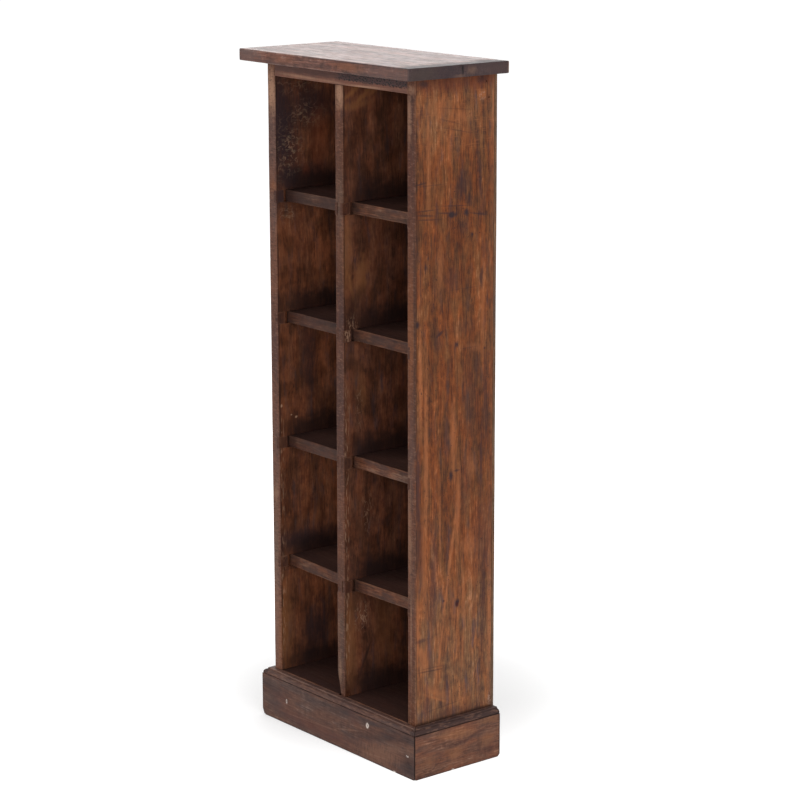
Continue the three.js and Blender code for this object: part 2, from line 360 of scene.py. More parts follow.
ripple = noise(bent, CURL_SIZE)["Fac"] - 0.5
rippled = ease(noise(given["Place"], CURL_ZONE_SIZE)["Fac"], 0.42, 0.62)
fill(
    wanted,
    Tone=(rings + streaks) * 0.5,
    Bands=noise(bent, BAND_SIZE)["Fac"],
    Fibre=noise(bent, FIBRE_SIZE, detail=3.0, roughness=0.66)["Fac"],
    Pores=dashes * zone,
    Curl=ripple * rippled,
)
print("wood figure gives", [socket.name for socket in wanted if socket.name])

# %% [markdown]
# Stain on open-pored wood is never one colour. It goes deep brown where the wood is soft, stays
# amber on the hard rings, and turns slate grey where iron or polish has reacted. The next group
# mixes five tones by the figure, rubs the arrises paler, and gives a height for fine relief. It
# returns only what varies, so that the glossy shader itself stays in each material.

# %% Stained wood, as a shader group
MIX_FACTOR = 0
MIX_A = 6
MIX_B = 7
MIX_RESULT = 2
SLATE_SIZE = (11.0, 11.0, 52.0)
RUB_SIZE = (5.0, 5.0, 22.0)
HUE_SIZE = (14.0, 14.0, 50.0)
MOTTLE_SIZE = (8.0, 8.0, 10.0)
COOL_SHADE = (0.85, 1.0, 1.11, 1.0)
WARM_SHADE = (1.16, 0.99, 0.87, 1.0)


def stain(red, green, blue):
    """A colour chart's 0 to 255 a channel, as the linear light that a shader works in."""

    def linear(channel):
        share = channel / 255
        return share / 12.92 if share <= 0.04045 else ((share + 0.055) / 1.055) ** 2.4

    return (linear(red), linear(green), linear(blue), 1.0)


def mixed(factor, first, second, mode="MIX"):
    """First where the factor is 0, second where it is 1."""
    inputs = {MIX_FACTOR: factor, MIX_A: first, MIX_B: second}
    tree = home(factor, first, second)
    return add(tree, "ShaderNodeMix", inputs, data_type="RGBA", blend_type=mode)[MIX_RESULT]


stained, given, wanted = new_group(
    "stained wood",
    "ShaderNodeTree",
    {
        "Place": "vector",
        "Arris": "number",
        "Deep": "colour",
        "Brown": "colour",
        "Amber": "colour",
        "Pale": "colour",
        "Slate": "colour",
        "Contrast": "number",
        "Slate Share": "number",
        "Hue Share": "number",
        "Curl": "number",
        "Fine": "number",
        "Mottle": "number",
        "Rubbed": "number",
        "Ring": "number",
        "Streak": "number",
        "Wander": "number",
    },
    {"Colour": "colour", "Height": "number", "Tone": "number"},
)
own_figure = {key: given[key] for key in ("Place", "Ring", "Streak", "Wander")}
wood = add(stained, "ShaderNodeGroup", node_tree=figure, inputs=own_figure)
body_tone = wood["Tone"] * 0.5 + wood["Bands"] * 0.5
swing = (body_tone - 0.5) * given["Contrast"] + 0.5
tone = swing + (wood["Fibre"] - 0.5) * given["Fine"] + wood["Curl"] * given["Curl"]
mottle = noise(given["Place"], MOTTLE_SIZE, detail=5.0, roughness=0.72)["Fac"]
tone = tone + (mottle - 0.5) * given["Mottle"]
colour = mixed(ease(tone, 0.12, 0.40), given["Deep"], given["Brown"])
colour = mixed(ease(tone, 0.36, 0.64), colour, given["Amber"])
colour = mixed(ease(tone, 0.62, 0.92), colour, given["Pale"])
hue = ease(noise(given["Place"], HUE_SIZE, detail=4.0, roughness=0.6)["Fac"], 0.38, 0.62)
colour = mixed(given["Hue Share"], colour, mixed(hue, COOL_SHADE, WARM_SHADE), "MULTIPLY")
cloud = noise(given["Place"], SLATE_SIZE, detail=4.0, roughness=0.62)["Fac"]
cloud = cloud + given["Slate Share"] * 0.4
colour = mixed(ease(cloud, 0.56, 0.84, 0.0, 0.85), colour, given["Slate"])
colour = mixed(wood["Pores"] * 0.62, colour, given["Deep"])
rub_width = ease(noise(given["Place"], RUB_SIZE, detail=3.0)["Fac"], 0.35, 0.7, 0.5, 2.6)
rubbed = ease(given["Arris"], 0.3, rub_width, 1.0, 0.0) * given["Rubbed"]
colour = mixed(rubbed, colour, given["Pale"])
relief = wood["Fibre"] * 0.45 + tone * 0.4 - wood["Pores"] * 0.5
fill(wanted, Colour=colour, Height=relief, Tone=tone)
print("stained wood takes", len(stained.interface.items_tree), "sockets")

# %% [markdown]
# Knots, stains and pale knocks sit at places of their own. Each is a soft ellipse with a ragged
# rim: its centre, tilt and half sizes are inputs, in millimetres. One group makes them all, and a
# short loop lays down a list of them. Each is nudged a little by those laid before it, so that
# marks which meet run into each other.

# %% One mark on a surface, as a shader group
MARK_RIM_SIZE = (3.0, 3.0, 9.0)
ALONG_VIEW = 400.0

mark, given, wanted = new_group(
    "mark",
    "ShaderNodeTree",
    {
        "Place": "vector",
        "Rim": "number",
        "Centre": "vector",
        "Tilt": "vector",
        "Size": "vector",
        "Soft": "number",
        "Strength": "number",
        "Before": "number",
    },
    {"Mask": "number"},
)
ellipse = {"Location": given["Centre"], "Rotation": given["Tilt"], "Scale": given["Size"]}
ellipse["Vector"] = given["Place"] + given["Before"]
local = add(mark, "ShaderNodeMapping", ellipse, vector_type="TEXTURE")[0]
reach = calc("LENGTH", local) + given["Rim"]
own = ease(reach, 1.0 - given["Soft"], given["Soft"] + 1.0, 1.0, 0.0) * given["Strength"]
fill(wanted, Mask=most(own, given["Before"]))


def box_mm(node):
    """A node's corners in millimetres."""
    low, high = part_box(node)
    return low * PER_METRE, high * PER_METRE


FRONT = box_mm("side_right")[0].y
BACK = box_mm("side_right")[1].y
OUTER_X = box_mm("side_right")[1].x


def marks(place, face, where, soft=0.6, ragged=0.5):
    """The strongest of several marks on the faces square to X, Y or Z.
    Each is (across, up, half width, half height, tilt in degrees, strength). Across is X and up is
    Z, but on a face square to either, the way back from the tower's front takes its place."""
    rim = (noise(place, MARK_RIM_SIZE, detail=3.0)["Fac"] - 0.5) * (2 * ragged)
    total = 0.0
    for across, up, half_width, half_height, tilt, strength in where:
        centre = {
            "X": (0, across + FRONT, up),
            "Y": (across, 0, up),
            "Z": (across, up + FRONT, 0),
        }[face]
        size = {
            "X": (ALONG_VIEW, half_width, half_height),
            "Y": (half_width, ALONG_VIEW, half_height),
            "Z": (half_width, half_height, ALONG_VIEW),
        }[face]
        tilts = [math.radians(tilt) if axis == face else 0.0 for axis in "XYZ"]
        inputs = {"Place": place, "Rim": rim, "Centre": centre, "Tilt": tilts, "Size": size}
        inputs.update({"Soft": soft, "Strength": strength, "Before": total})
        total = add(place.tree, "ShaderNodeGroup", node_tree=mark, inputs=inputs)["Mask"]
    return total


print("front of the carcass at y", round(FRONT, 2), "mm, back at", round(BACK, 2))

# %% [markdown]
# ## Boards worked by hand
#
# A hand-planed board is a box with softened arrises, a face that is never quite flat, and the
# joints cut into it. One Geometry Nodes tree can make every board here, because they all follow
# that rule. It starts from a grid cube, gathers grid lines at the arrises, rounds them with a
# radius that wanders, cuts the joints with a boolean, and bends the board a fraction of a
# millimetre. It can also lean or slope a board. Three attributes are stored for the finishes: the
# distance to the nearest arris, the place in the wood with the grain along Z, and the rise above
# the board's middle.

# %% Running a tree once
def grow(name, tree, values):
    """Runs a Geometry Nodes tree and keeps what it made as a plain mesh."""
    piece = bpy.data.objects.new(name, bpy.data.meshes.new(name))
    bpy.context.scene.collection.objects.link(piece)
    maker = piece.modifiers.new("maker", "NODES")
    maker.node_group = tree
    for item in tree.interface.items_tree:
        if item.item_type == "SOCKET" and item.in_out == "INPUT" and item.name in values:
            maker[item.identifier] = values[item.name]
    ready = piece.evaluated_get(bpy.context.evaluated_depsgraph_get())
    made = bpy.data.meshes.new_from_object(ready)
    piece.modifiers.remove(maker)
    empty = piece.data
    piece.data = made
    bpy.data.meshes.remove(empty)
    return piece


CREASE = math.radians(38)


def settle(piece, slot, *nodes):
    """The piece keeps its cut edges crisp, rides on the tower and stands for its nodes."""
    piece.data.set_sharp_from_angle(angle=CREASE)
    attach(piece, "root")
    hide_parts(*nodes)
    print(f"{piece.name}: {sum(len(face.vertices) - 2 for face in piece.data.polygons)} triangles")


# %% Grid lines that gather at the arrises
GATHERED = 3
ARRIS_REACH = 1.6
GATHER_POWER = 1.5

gather, given, wanted = new_group(
    "gather lines",
    "GeometryNodeTree",
    {"Along": "number", "Size": "number", "Cells": "number", "Arris": "number"},
    {"Along": "number"},
)
half = given["Size"] * 0.5
inward = half - abs(given["Along"])
line = inward * given["Cells"] / given["Size"]
close = least(line, GATHERED) / GATHERED
zone = given["Arris"] * ARRIS_REACH
near = calc("POWER", close, GATHER_POWER) * zone
beyond = most(line - GATHERED, 0.0)
lines_left = given["Cells"] * 0.5 - GATHERED
far = beyond / lines_left * (half - zone)
fill(wanted, Along=(half - (near + far)) * calc("SIGN", given["Along"]))
print("lines gathered at each arris:", GATHERED)

# %% The worn board
LEAST_CELLS = 8
WEAR_SIZE = (11.0, 11.0, 26.0)
NICK_SIZE = (6.0, 6.0, 8.0)
WAVE_SIZE = (70.0, 70.0, 150.0)
SEED_STEP = (37.0, 53.0, 711.0)

board, given, wanted = new_group(
    "worn board",
    "GeometryNodeTree",
    {
        "Low": "vector",
        "High": "vector",
        "Spacing": "number",
        "Arris": "number",
        "Wear": "number",
        "Nicks": "number",
        "Wave": "number",
        "Lean": "number",
        "Tilt": "number",
        "Turn": "vector",
        "Seed": "number",
        "Has Cuts": "yes or no",
        "Cuts": "object",
        "Finish": "material",
    },
    {"Board": "mesh"},
)


def placed(mesh, where):
    """The mesh with its points moved to a new place."""
    return add(mesh.tree, "GeometryNodeSetPosition", {"Geometry": mesh, "Position": where})[0]


def shifted(mesh, offset):
    """The mesh with its points moved by an offset."""
    return add(mesh.tree, "GeometryNodeSetPosition", {"Geometry": mesh, "Offset": offset})[0]


def stored(mesh, name, value, kind="FLOAT"):
    """The mesh with a value kept on each point."""
    inputs = {"Geometry": mesh, "Name": name, "Value": value}
    return add(mesh.tree, "GeometryNodeStoreNamedAttribute", inputs, data_type=kind, domain="POINT")[0]


def stored_grain(mesh, point, turn, seed_shift):
    """The mesh with its place in the wood on each point, in millimetres and the grain along Z."""
    inputs = {"Vector": scaled(point, PER_METRE), "Rotation": turn}
    turned = add(mesh.tree, "ShaderNodeVectorRotate", inputs, rotation_type="EULER_XYZ")[0]
    return stored(mesh, "grain", turned + seed_shift, "FLOAT_VECTOR")


def joints_cut(mesh, given):
    """The mesh with its joints cut, where it has any."""
    cutter = add(mesh.tree, "GeometryNodeObjectInfo", {"Object": given["Cuts"]})["Geometry"]
    solids = {"Mesh 1": mesh, "Mesh 2": cutter}
    settings = {"operation": "DIFFERENCE", "solver": "MANIFOLD"}
    cut = add(mesh.tree, "GeometryNodeMeshBoolean", solids, **settings)["Mesh"]
    choice = {"Switch": given["Has Cuts"], "False": mesh, "True": cut}
    return add(mesh.tree, "GeometryNodeSwitch", choice, input_type="GEOMETRY")[0]


def painted(mesh, finish):
    """The mesh with its copies made real and its material set."""
    whole = add(mesh.tree, "GeometryNodeRealizeInstances", {"Geometry": mesh})[0]
    return add(mesh.tree, "GeometryNodeSetMaterial", {"Geometry": whole, "Material": finish})[0]


def smoothed(mesh):
    """The mesh with smooth shading."""
    shading = {"Geometry": mesh, "Shade Smooth": True}
    return add(mesh.tree, "GeometryNodeSetShadeSmooth", shading)[0]


size = given["High"] - given["Low"]
middle = scaled(given["High"] + given["Low"], 0.5)
steps = joined(given["Spacing"], given["Spacing"], given["Spacing"])
cells = most(calc("CEIL", size / steps), (LEAST_CELLS,) * 3)
sizes, counts = parts_of(size), parts_of(cells)
lines = {f"Vertices {axis}": counts[axis] + 1.0 for axis in "XYZ"}
cube = add(board, "GeometryNodeMeshCube", {"Size": size, **lines})["Mesh"]
point = add(board, "GeometryNodeInputPosition")[0]
along = parts_of(point)
gathered = []
for axis in "XYZ":
    inputs = {"Along": along[axis], "Size": sizes[axis], "Cells": counts[axis]}
    inputs["Arris"] = given["Arris"]
    gathered.append(add(board, "GeometryNodeGroup", node_tree=gather, inputs=inputs)[0])
grid = placed(cube, joined(*gathered))

seed_shift = scaled(SEED_STEP, given["Seed"])
in_mm = scaled(point + middle, PER_METRE) + seed_shift
wear_noise = noise(in_mm, WEAR_SIZE)["Fac"] * 2.0 - 1.0
nick = ease(noise(in_mm, NICK_SIZE, 1.0)["Fac"], 0.62, 0.78)
softness = wear_noise * given["Wear"] + 1.0 + nick * given["Nicks"]
arris_radius = softness * given["Arris"]
core = scaled(size, 0.5) - joined(arris_radius, arris_radius, arris_radius)
core_point = least(most(point, scaled(core, -1.0)), core)
outwards = calc("NORMALIZE", point - core_point)
rounded = core_point + scaled(outwards, arris_radius)
jointed = joints_cut(placed(grid, rounded + middle), given)

inset = least(point - given["Low"], given["High"] - point)
x, y, z = parts_of(scaled(inset, PER_METRE))
to_arris = most(least(x, y), least(most(x, y), z))
jointed = stored(jointed, "arris", to_arris)
jointed = stored_grain(jointed, point, given["Turn"], seed_shift)
height = parts_of(point)["Z"] - parts_of(middle)["Z"]
jointed = stored(jointed, "rise", height * PER_METRE)

here = scaled(point, PER_METRE) + seed_shift
wave = noise(here, WAVE_SIZE, 1.0)["Color"] - (0.5, 0.5, 0.5)
along_x = parts_of(point)["X"] - parts_of(middle)["X"]
leaning = joined(height * given["Lean"], 0.0, along_x * given["Tilt"])
bowed = shifted(jointed, scaled(wave, given["Wave"]) + leaning)
fill(wanted, Board=painted(smoothed(bowed), given["Finish"]))
print("worn board has", len(board.nodes), "nodes")

# %% [markdown]
# ## Cutting the joints
#
# The real joints were sawn and chiselled, so here they are solids that the boolean takes away:
# plain blocks for housings and notches, and hulls of a few points for chips and worn corners. The
# cutters themselves never show. They only have to be closed.

# %% Cutting solids
def cutters(name, blocks=(), hulls=(), bores=()):
    """One hidden object with blocks (low, high), hulls of points, and bores (foot, axis, radius)."""
    shape = bmesh.new()
    for block in blocks:
        hulls = [*hulls, product(*zip(*block))]
    for points in hulls:
        made = [shape.verts.new(Vector(point) * MM) for point in points]
        bmesh.ops.convex_hull(shape, input=made)
    for foot, axis, radius in bores:
        axis = Vector(axis)
        turn = Vector((0, 0, 1)).rotation_difference(axis.normalized()).to_matrix().to_4x4()
        place = Matrix.Translation((Vector(foot) + axis / 2) * MM) @ turn
        size = {"radius1": radius * MM, "radius2": radius * MM, "depth": axis.length * MM}
        bmesh.ops.create_cone(shape, cap_ends=True, segments=14, matrix=place, **size)
    bmesh.ops.recalc_face_normals(shape, faces=shape.faces)
    mesh = bpy.data.meshes.new(name)
    shape.to_mesh(mesh)
    shape.free()
    return bpy.data.objects.new(name, mesh)


SEAM = 0.3
ROWS = (1, 2, 3, 4)
print("a seam between boards is", SEAM, "mm")

# %% [markdown]
# ## The side panels
#
# Each side is one wide board with its grain upright, from the floor to the top board. Its broad
# outer face is the largest surface in view, so it gets the most care: a warm stain, dark knots and
# knocks, pale streaks beside them, fine scratches across the grain, and two small nail holes. The
# front edge is duller and greyer, partly from a darker stain and partly from a painted sheen.

# %% A finish for each board
GRAIN_UP = (0.0, 0.0, 0.0)
GRAIN_ALONG_X = (0.0, math.radians(-90), 0.0)

PANEL_LOOK = {
    "Deep": stain(60, 34, 25),
    "Brown": stain(91, 52, 31),
    "Amber": stain(118, 68, 38),
    "Pale": stain(156, 99, 64),
    "Slate": stain(64, 50, 50),
    "Contrast": 1.65,
    "Slate Share": 0.1,
    "Hue Share": 0.8,
    "Curl": 0.2,
    "Fine": 1.1,
    "Mottle": 0.8,
    "Rubbed": 0.4,
    "Ring": 3.6,
    "Streak": 2.3,
    "Wander": 9.0,
}
WAX_ROUGHNESS = 0.3
TONE_SHEEN = 0.25


def wood_finish(name, look, roughness, gloss, relief, dress=None):
    """A stained wood material. dress(place, finish) may change its colour, roughness or height."""
    material = new_material(name)
    tree = material.node_tree
    grain = add(tree, "ShaderNodeAttribute", attribute_name="grain")["Vector"]
    arris = add(tree, "ShaderNodeAttribute", attribute_name="arris")["Fac"]
    rise = add(tree, "ShaderNodeAttribute", attribute_name="rise")["Fac"]
    place = scaled(add(tree, "ShaderNodeTexCoord")["Object"], PER_METRE)
    inputs = {"Place": grain, "Arris": arris, **look}
    body = add(tree, "ShaderNodeGroup", node_tree=stained, inputs=inputs)
    sheen = (0.5 - body["Tone"]) * TONE_SHEEN + roughness
    finish = {"colour": body["Colour"], "roughness": sheen, "height": body["Height"]}
    finish.update(grain=grain, arris=arris, rise=rise, coat=0.0)
    if dress:
        dress(place, finish)
    bump = add(tree, "ShaderNodeBump", {"Height": finish["height"], "Distance": relief * MM})[0]
    shader = add(
        tree,
        "ShaderNodeBsdfPrincipled",
        {
            "Base Color": finish["colour"],
            "Roughness": finish["roughness"],
            "Specular IOR Level": gloss,
            "Coat Weight": finish["coat"],
            "Coat Roughness": WAX_ROUGHNESS,
            "Normal": bump,
        },
    )[0]
    add(tree, "ShaderNodeOutputMaterial", {"Surface": shader})
    return material


def tint(finish, mask, colour, strength=1.0):
    """Mixes a colour into the finish where the mask is 1."""
    finish["colour"] = mixed(mask * strength, finish["colour"], colour)


def shaded(finish, mask, shade):
    """Multiplies the finish by a shade where the mask is 1."""
    finish["colour"] = mixed(mask, finish["colour"], shade, "MULTIPLY")


def lay(place, finish, face, where, colour, facing, strength=1.0, soft=0.6, ragged=0.5):
    """Marks of one colour, where facing is 1."""
    mask = marks(place, face, where, soft, ragged) * facing
    tint(finish, mask, colour, strength)
    return mask


def within(value, low, high, soft=1.0):
    """1 between low and high, fading over the soft width outside."""
    return ease(value, low - soft, low) * ease(value, high, high + soft, 1.0, 0.0)


# %% Marks on the broad right face
PLINTH_HEIGHT = box_mm("plinth_front")[1].z
KNOTS = [
    (62, 754, 7, 4, 0, 0.9),
    (86, 755, 4.5, 4.5, 0, 0.75),
    (112, 751, 9, 3.5, -8, 0.55),
    (108, 800, 3.5, 44, 5, 0.55),
    (114, 760, 4, 20, -14, 0.4),
    (78, 790, 11, 18, -10, 0.5),
    (90, 772, 7, 8, 30, 0.5),
    (84, 738, 8, 10, 0, 0.35),
    (112, 667, 3.5, 13, -4, 0.6),
    (115, 700, 2.5, 20, 4, 0.45),
    (70, 582, 3, 4, 0, 0.85),
    (41, 599, 7, 2.0, 32, 0.65),
    (38, 585, 8, 9, 0, 0.3),
    (3, 616, 4.5, 4.5, 0, 0.8),
    (61, 406, 3.2, 7.5, 0, 0.8),
    (70, 412, 4.5, 1.6, 0, 0.6),
    (72, 229, 3.0, 5, 0, 0.9),
    (49, 236, 1.4, 1.8, 0, 0.7),
    (96, 725, 1.6, 2.2, 0, 0.8),
    (18, 689, 2.6, 4.5, 0, 0.6),
    (22, 701, 1.4, 3, 0, 0.5),
    (27, 712, 1.2, 12, 0, 0.4),
    (9, 675, 1.3, 30, 0, 0.5),
    (14, 925, 9, 5, 0, 0.6),
    (110, 926, 8, 5, 0, 0.45),
    (10, 888, 2.6, 10, 0, 0.45),
    (3, 700, 2.0, 60, 0, 0.35),
    (118, 571, 1.6, 1.6, 0, 0.6),
]
SLATE_STREAKS = [
    (53, 460, 3.5, 30, 0, 0.55),
    (53, 442, 4.5, 8, 0, 0.45),
    (4, 400, 4.5, 72, 0, 0.75),
    (3, 320, 8, 50, 0, 0.55),
    (31, 265, 6, 85, -2, 0.6),
    (26, 160, 7, 32, 8, 0.4),
    (113, 425, 2.2, 45, 0, 0.6),
    (120, 500, 5, 70, 0, 0.4),
    (118, 235, 4.5, 70, 0, 0.5),
    (117, 310, 18, 55, 0, 0.4),
    (86, 395, 8, 45, 0, 0.3),
    (12, 188, 12, 2.6, 4, 0.6),
    (20, 92, 7, 20, 0, 0.6),
    (77, 76, 6, 8, 0, 0.5),
    (132, 84, 4, 16, 0, 0.5),
    (95, 505, 14, 60, 0, 0.25),
    (62, 668, 12, 14, 0, 0.3),
    (60, 76, 70, 7, 0, 0.45),
    (84, 604, 18, 10, 0, 0.2),
]
PALE_STREAKS = [
    (18, 430, 3.6, 130, 0, 0.65),
    (15, 290, 5, 70, 1, 0.5),
    (64, 455, 4.5, 50, 0, 0.6),
    (73, 362, 3.6, 50, -2, 0.65),
    (61, 300, 2.4, 48, -9, 0.75),
    (52, 240, 2.2, 34, -10, 0.7),
    (44, 180, 1.8, 44, -8, 0.6),
    (42, 345, 1.4, 46, 0, 0.6),
    (93, 305, 14, 13, 0, 0.55),
    (83, 232, 2.4, 44, 3, 0.5),
    (82, 160, 2.4, 34, -4, 0.45),
    (9, 532, 3, 60, 0, 0.75),
    (42, 690, 5, 30, 0, 0.45),
    (8, 665, 3, 40, 0, 0.35),
    (95, 415, 8, 16, 0, 0.45),
    (115, 630, 3, 75, 0, 0.45),
    (102, 575, 12, 5, -12, 0.35),
    (36, 110, 20, 6, -30, 0.45),
    (34, 103, 22, 2.0, -24, 0.6),
    (15, 162, 9, 16, 0, 0.55),
    (128, 190, 2.4, 70, 0, 0.55),
    (78, 880, 12, 7, -8, 0.5),
    (40, 890, 22, 16, 0, 0.35),
    (22, 830, 3, 60, 0, 0.5),
    (58, 845, 3, 30, 0, 0.3),
    (4, 205, 1.8, 60, 0, 0.7),
    (112, 905, 5, 6, 0, 0.6),
    (131, 895, 1.6, 16, 0, 0.6),
]
CROSS_LINES = [
    (18, 763, 19, 0.9, 0, 0.6),
    (68, 765, 28, 0.9, -4, 0.5),
    (16, 757, 16, 1.5, -6, 0.6),
    (50, 757, 12, 1.2, -6, 0.6),
    (22, 751, 22, 0.9, -4, 0.55),
    (106, 751, 16, 1.0, -10, 0.6),
    (8, 798, 10, 1.1, 6, 0.7),
    (24, 795, 30, 0.7, 0, 0.35),
    (85, 655, 30, 0.8, 0, 0.3),
    (26, 143, 26, 1.1, -3, 0.5),
    (30, 147, 22, 0.7, -2, 0.35),
    (45, 88, 40, 0.8, 4, 0.3),
    (72, 862, 28, 0.9, -12, 0.4),
    (60, 874, 22, 0.8, -16, 0.35),
    (70, 890, 30, 0.7, -6, 0.3),
    (90, 575, 16, 0.8, 0, 0.35),
]
KNOT_HEARTS = [(72, 227.5, 2.0, 3.0, 0, 0.9), (108, 799, 1.4, 1.4, 0, 0.7)]
DUSTY_SPOTS = [
    (131, 82, 6, 10, 0, 0.8),
    (112, 904, 5, 6, 0, 0.7),
    (81, 931, 1, 1, 0, 0.9),
    (107, 928, 1, 1, 0, 0.9),
]
KNOT_BROWN = stain(48, 34, 36)
SLATE = stain(68, 45, 43)
PALE_AMBER = stain(160, 98, 62)
KNOT_RED = stain(60, 20, 18)
DUST = stain(170, 140, 122)
REDDISH = stain(92, 45, 32)
DULL_EDGE_AND_SHEEN = stain(73, 46, 37)
EDGE_PALE = stain(134, 100, 84)
EDGE_DARK = stain(44, 30, 27)
TAN = stain(160, 122, 98)
MAUVE = stain(84, 66, 62)
ORANGE_BROWN = stain(122, 74, 46)
GREY_GREEN = stain(96, 82, 70)
RED_UMBER = stain(70, 42, 36)
SAW_SIZE = (7.0, 7.0, 2.4)
LIGHTENING = (1.42, 1.83, 2.3, 1.0)
SPECK_SIZE = (2.2, 2.2, 3.4)
SPECK_ZONE_SIZE = (30.0, 30.0, 70.0)
SEAM_DIRT_AND_SHADOW = stain(30, 20, 18)
NAIL_HOLES = [(119.1, 922.1), (123.2, 901.0)]
HOLE_DEEP, HOLE_RADIUS = 4.0, 1.1
RIGHT_EDGE_TANS = [
    (150, 918, 7, 5, 0, 0.4),
    (146, 880, 4, 26, 0, 0.45),
    (146, 340, 4, 60, 0, 0.3),
    (149, 195, 1.4, 60, 0, 0.35),
]
RIGHT_EDGE_ZONES = [
    (ORANGE_BROWN, [(150, 610, 9, 115, 0, 0.6)]),
    (RED_UMBER, [(150, 790, 9, 120, 0, 0.62), (153, 500, 5, 62, 0, 0.4)]),
    (MAUVE, [(149, 440, 8, 60, 0, 0.4), (151, 250, 7, 90, 0, 0.25)]),
    (EDGE_DARK, [(157, 600, 2.6, 130, 0, 0.7), (150, 908, 7, 5, 0, 0.5), (146, 140, 5, 12, 0, 0.5)]),
    (TAN, RIGHT_EDGE_TANS),
]


def front_edge_stain_and_sheen(place, finish, colour=DULL_EDGE_AND_SHEEN, strength=0.55, zones=()):
    """A board's front edge: duller and greyer than its faces, partly a darker stain and partly a
    painted sheen, with saw marks across it and zones of other colours, each a colour and its marks."""
    edge = ease(parts_of(place)["Y"], FRONT + 0.4, FRONT + 2.2, 1.0, 0.0)
    # Partly a darker stain, partly a painted sheen that greys the front edge.
    tint(finish, edge, colour, strength)
    for zone_colour, where in zones:
        lay(place, finish, "Y", where, zone_colour, edge, soft=0.8, ragged=0.9)
    saw = noise(place, SAW_SIZE, detail=4.0, roughness=0.66)["Fac"]
    tint(finish, ease(saw, 0.52, 0.72) * edge, EDGE_PALE, 0.46)
    tint(finish, ease(saw, 0.28, 0.5, 1.0, 0.0) * edge, EDGE_DARK, 0.62)


def specks(place):
    """Small dark pin marks, close together in some places and absent in others."""
    dots = ease(noise(place, SPECK_SIZE, 1.0)["Fac"], 0.66, 0.74)
    return dots * ease(noise(place, SPECK_ZONE_SIZE, 1.0)["Fac"], 0.42, 0.62)


def behind_arris(place, finish, facing, strength=0.6):
    """A broken dark line of old polish just behind the front arris of a face."""
    broken = ease(noise(place, (8.0, 8.0, 30.0))["Fac"], 0.36, 0.6, 0.2, 1.0)
    line = within(parts_of(place)["Y"], FRONT + 1.4, FRONT + 2.6)
    tint(finish, line * facing * broken, SEAM_DIRT_AND_SHADOW, strength)


def dress_right_side(place, finish):
    x, y, z = parts_of(place)
    outer = ease(x, OUTER_X - 2.5, OUTER_X - 0.5)
    # Lighter low on the outer face, and a little lighter near its top.
    lightened = ease(z, 140, 330, 1.0, 0.0) + ease(z, 800, 880, 0.0, 0.5)
    shaded(finish, lightened * outer, LIGHTENING)
    cloud = noise(place, (12.0, 12.0, 30.0), detail=3.0)["Fac"]
    tint(finish, ease(cloud * 26.0 + z, 918, 936) * outer, REDDISH, 0.55)
    lay(place, finish, "X", PALE_STREAKS, PALE_AMBER, outer, soft=0.75, ragged=0.9)
    lay(place, finish, "X", SLATE_STREAKS, SLATE, outer, 1.15, soft=0.75, ragged=0.9)
    knots = lay(place, finish, "X", KNOTS, KNOT_BROWN, outer, 1.3, soft=0.7, ragged=0.8)
    lay(place, finish, "X", CROSS_LINES, KNOT_BROWN, outer, soft=0.5, ragged=0.2)
    scratches = ease(noise(place, (9.0, 22.0, 0.8), 1.0)["Fac"], 0.64, 0.74)
    tint(finish, scratches * within(z, 838, 906, 12.0) * outer, PALE_AMBER, 0.45)
    tint(finish, specks(place) * outer, KNOT_BROWN, 0.75)
    lay(place, finish, "X", KNOT_HEARTS, KNOT_RED, outer)
    rough = ease(noise(place, (2.4, 2.4, 2.4), 2.0)["Fac"], 0.5, 0.62)
    lay(place, finish, "X", DUSTY_SPOTS, DUST, rough * outer, 0.7)
    tint(finish, ease(y, BACK - 12, BACK - 1) * outer, DUST, 0.05)
    behind_arris(place, finish, outer, 0.45)
    # Painted shadow: a dark line on the side just above the plinth.
    foot = ease(z, PLINTH_HEIGHT + 0.5, PLINTH_HEIGHT + 6.0, 1.0, 0.0)
    tint(finish, foot * outer, SEAM_DIRT_AND_SHADOW, 0.8)
    front_edge_stain_and_sheen(place, finish, zones=RIGHT_EDGE_ZONES)
    finish["height"] = finish["height"] - knots * 0.6


right_side_finish = wood_finish("right side stain", PANEL_LOOK, 0.5, 0.1, 0.16, dress_right_side)
print("right side:", len(KNOTS), "knots and", len(PALE_STREAKS), "pale streaks")

# %% [markdown]
# Inside, the walls never saw a cloth. Their stain is blotchy, and pale curly scratches mark where
# things were pushed in. A smoky dark band above every shelf, darker towards the back, is partly
# grime and partly painted shade. The left wall is painted lighter further from the front, to stand
# in for light, and the back corners carry painted shade.

# %% The patina inside
PATINA_LOOK = {
    **PANEL_LOOK,
    "Deep": stain(50, 29, 22),
    "Brown": stain(82, 48, 33),
    "Amber": stain(106, 63, 42),
    "Pale": stain(138, 92, 66),
    "Contrast": 1.2,
    "Slate Share": 0.15,
    "Hue Share": 0.4,
    "Curl": 0.25,
    "Fine": 0.75,
    "Mottle": 0.6,
    "Rubbed": 0.5,
    "Ring": 7.0,
    "Streak": 4.0,
    "Wander": 26.0,
}
SHELF_TOPS = {
    column: [box_mm("bottom_board")[1].z, *(box_mm(f"shelf_{column}_{row}")[1].z for row in ROWS)]
    for column in ("left", "right")
}
GRIME_AND_SHADE = stain(36, 25, 25)
DARK_BAND_FULL, DARK_BAND_GONE = 14.0, 42.0
DARK_BAND_RAGGED = 30.0
DARK_BAND_UNDER = 17.0
PATCH_SIZE = (24.0, 24.0, 36.0)
PALE_SCRATCH = stain(176, 138, 112)
PURPLE_BROWN = stain(50, 36, 38)
BURNT_ORANGE = stain(128, 62, 38)
DUSTY_GREEN = stain(118, 98, 80)
GOLDEN = stain(138, 90, 56)


def darkened(finish, shade, facing=1.0):
    """The finish's colour times a number that varies."""
    shaded(finish, facing, joined(shade, shade, shade))


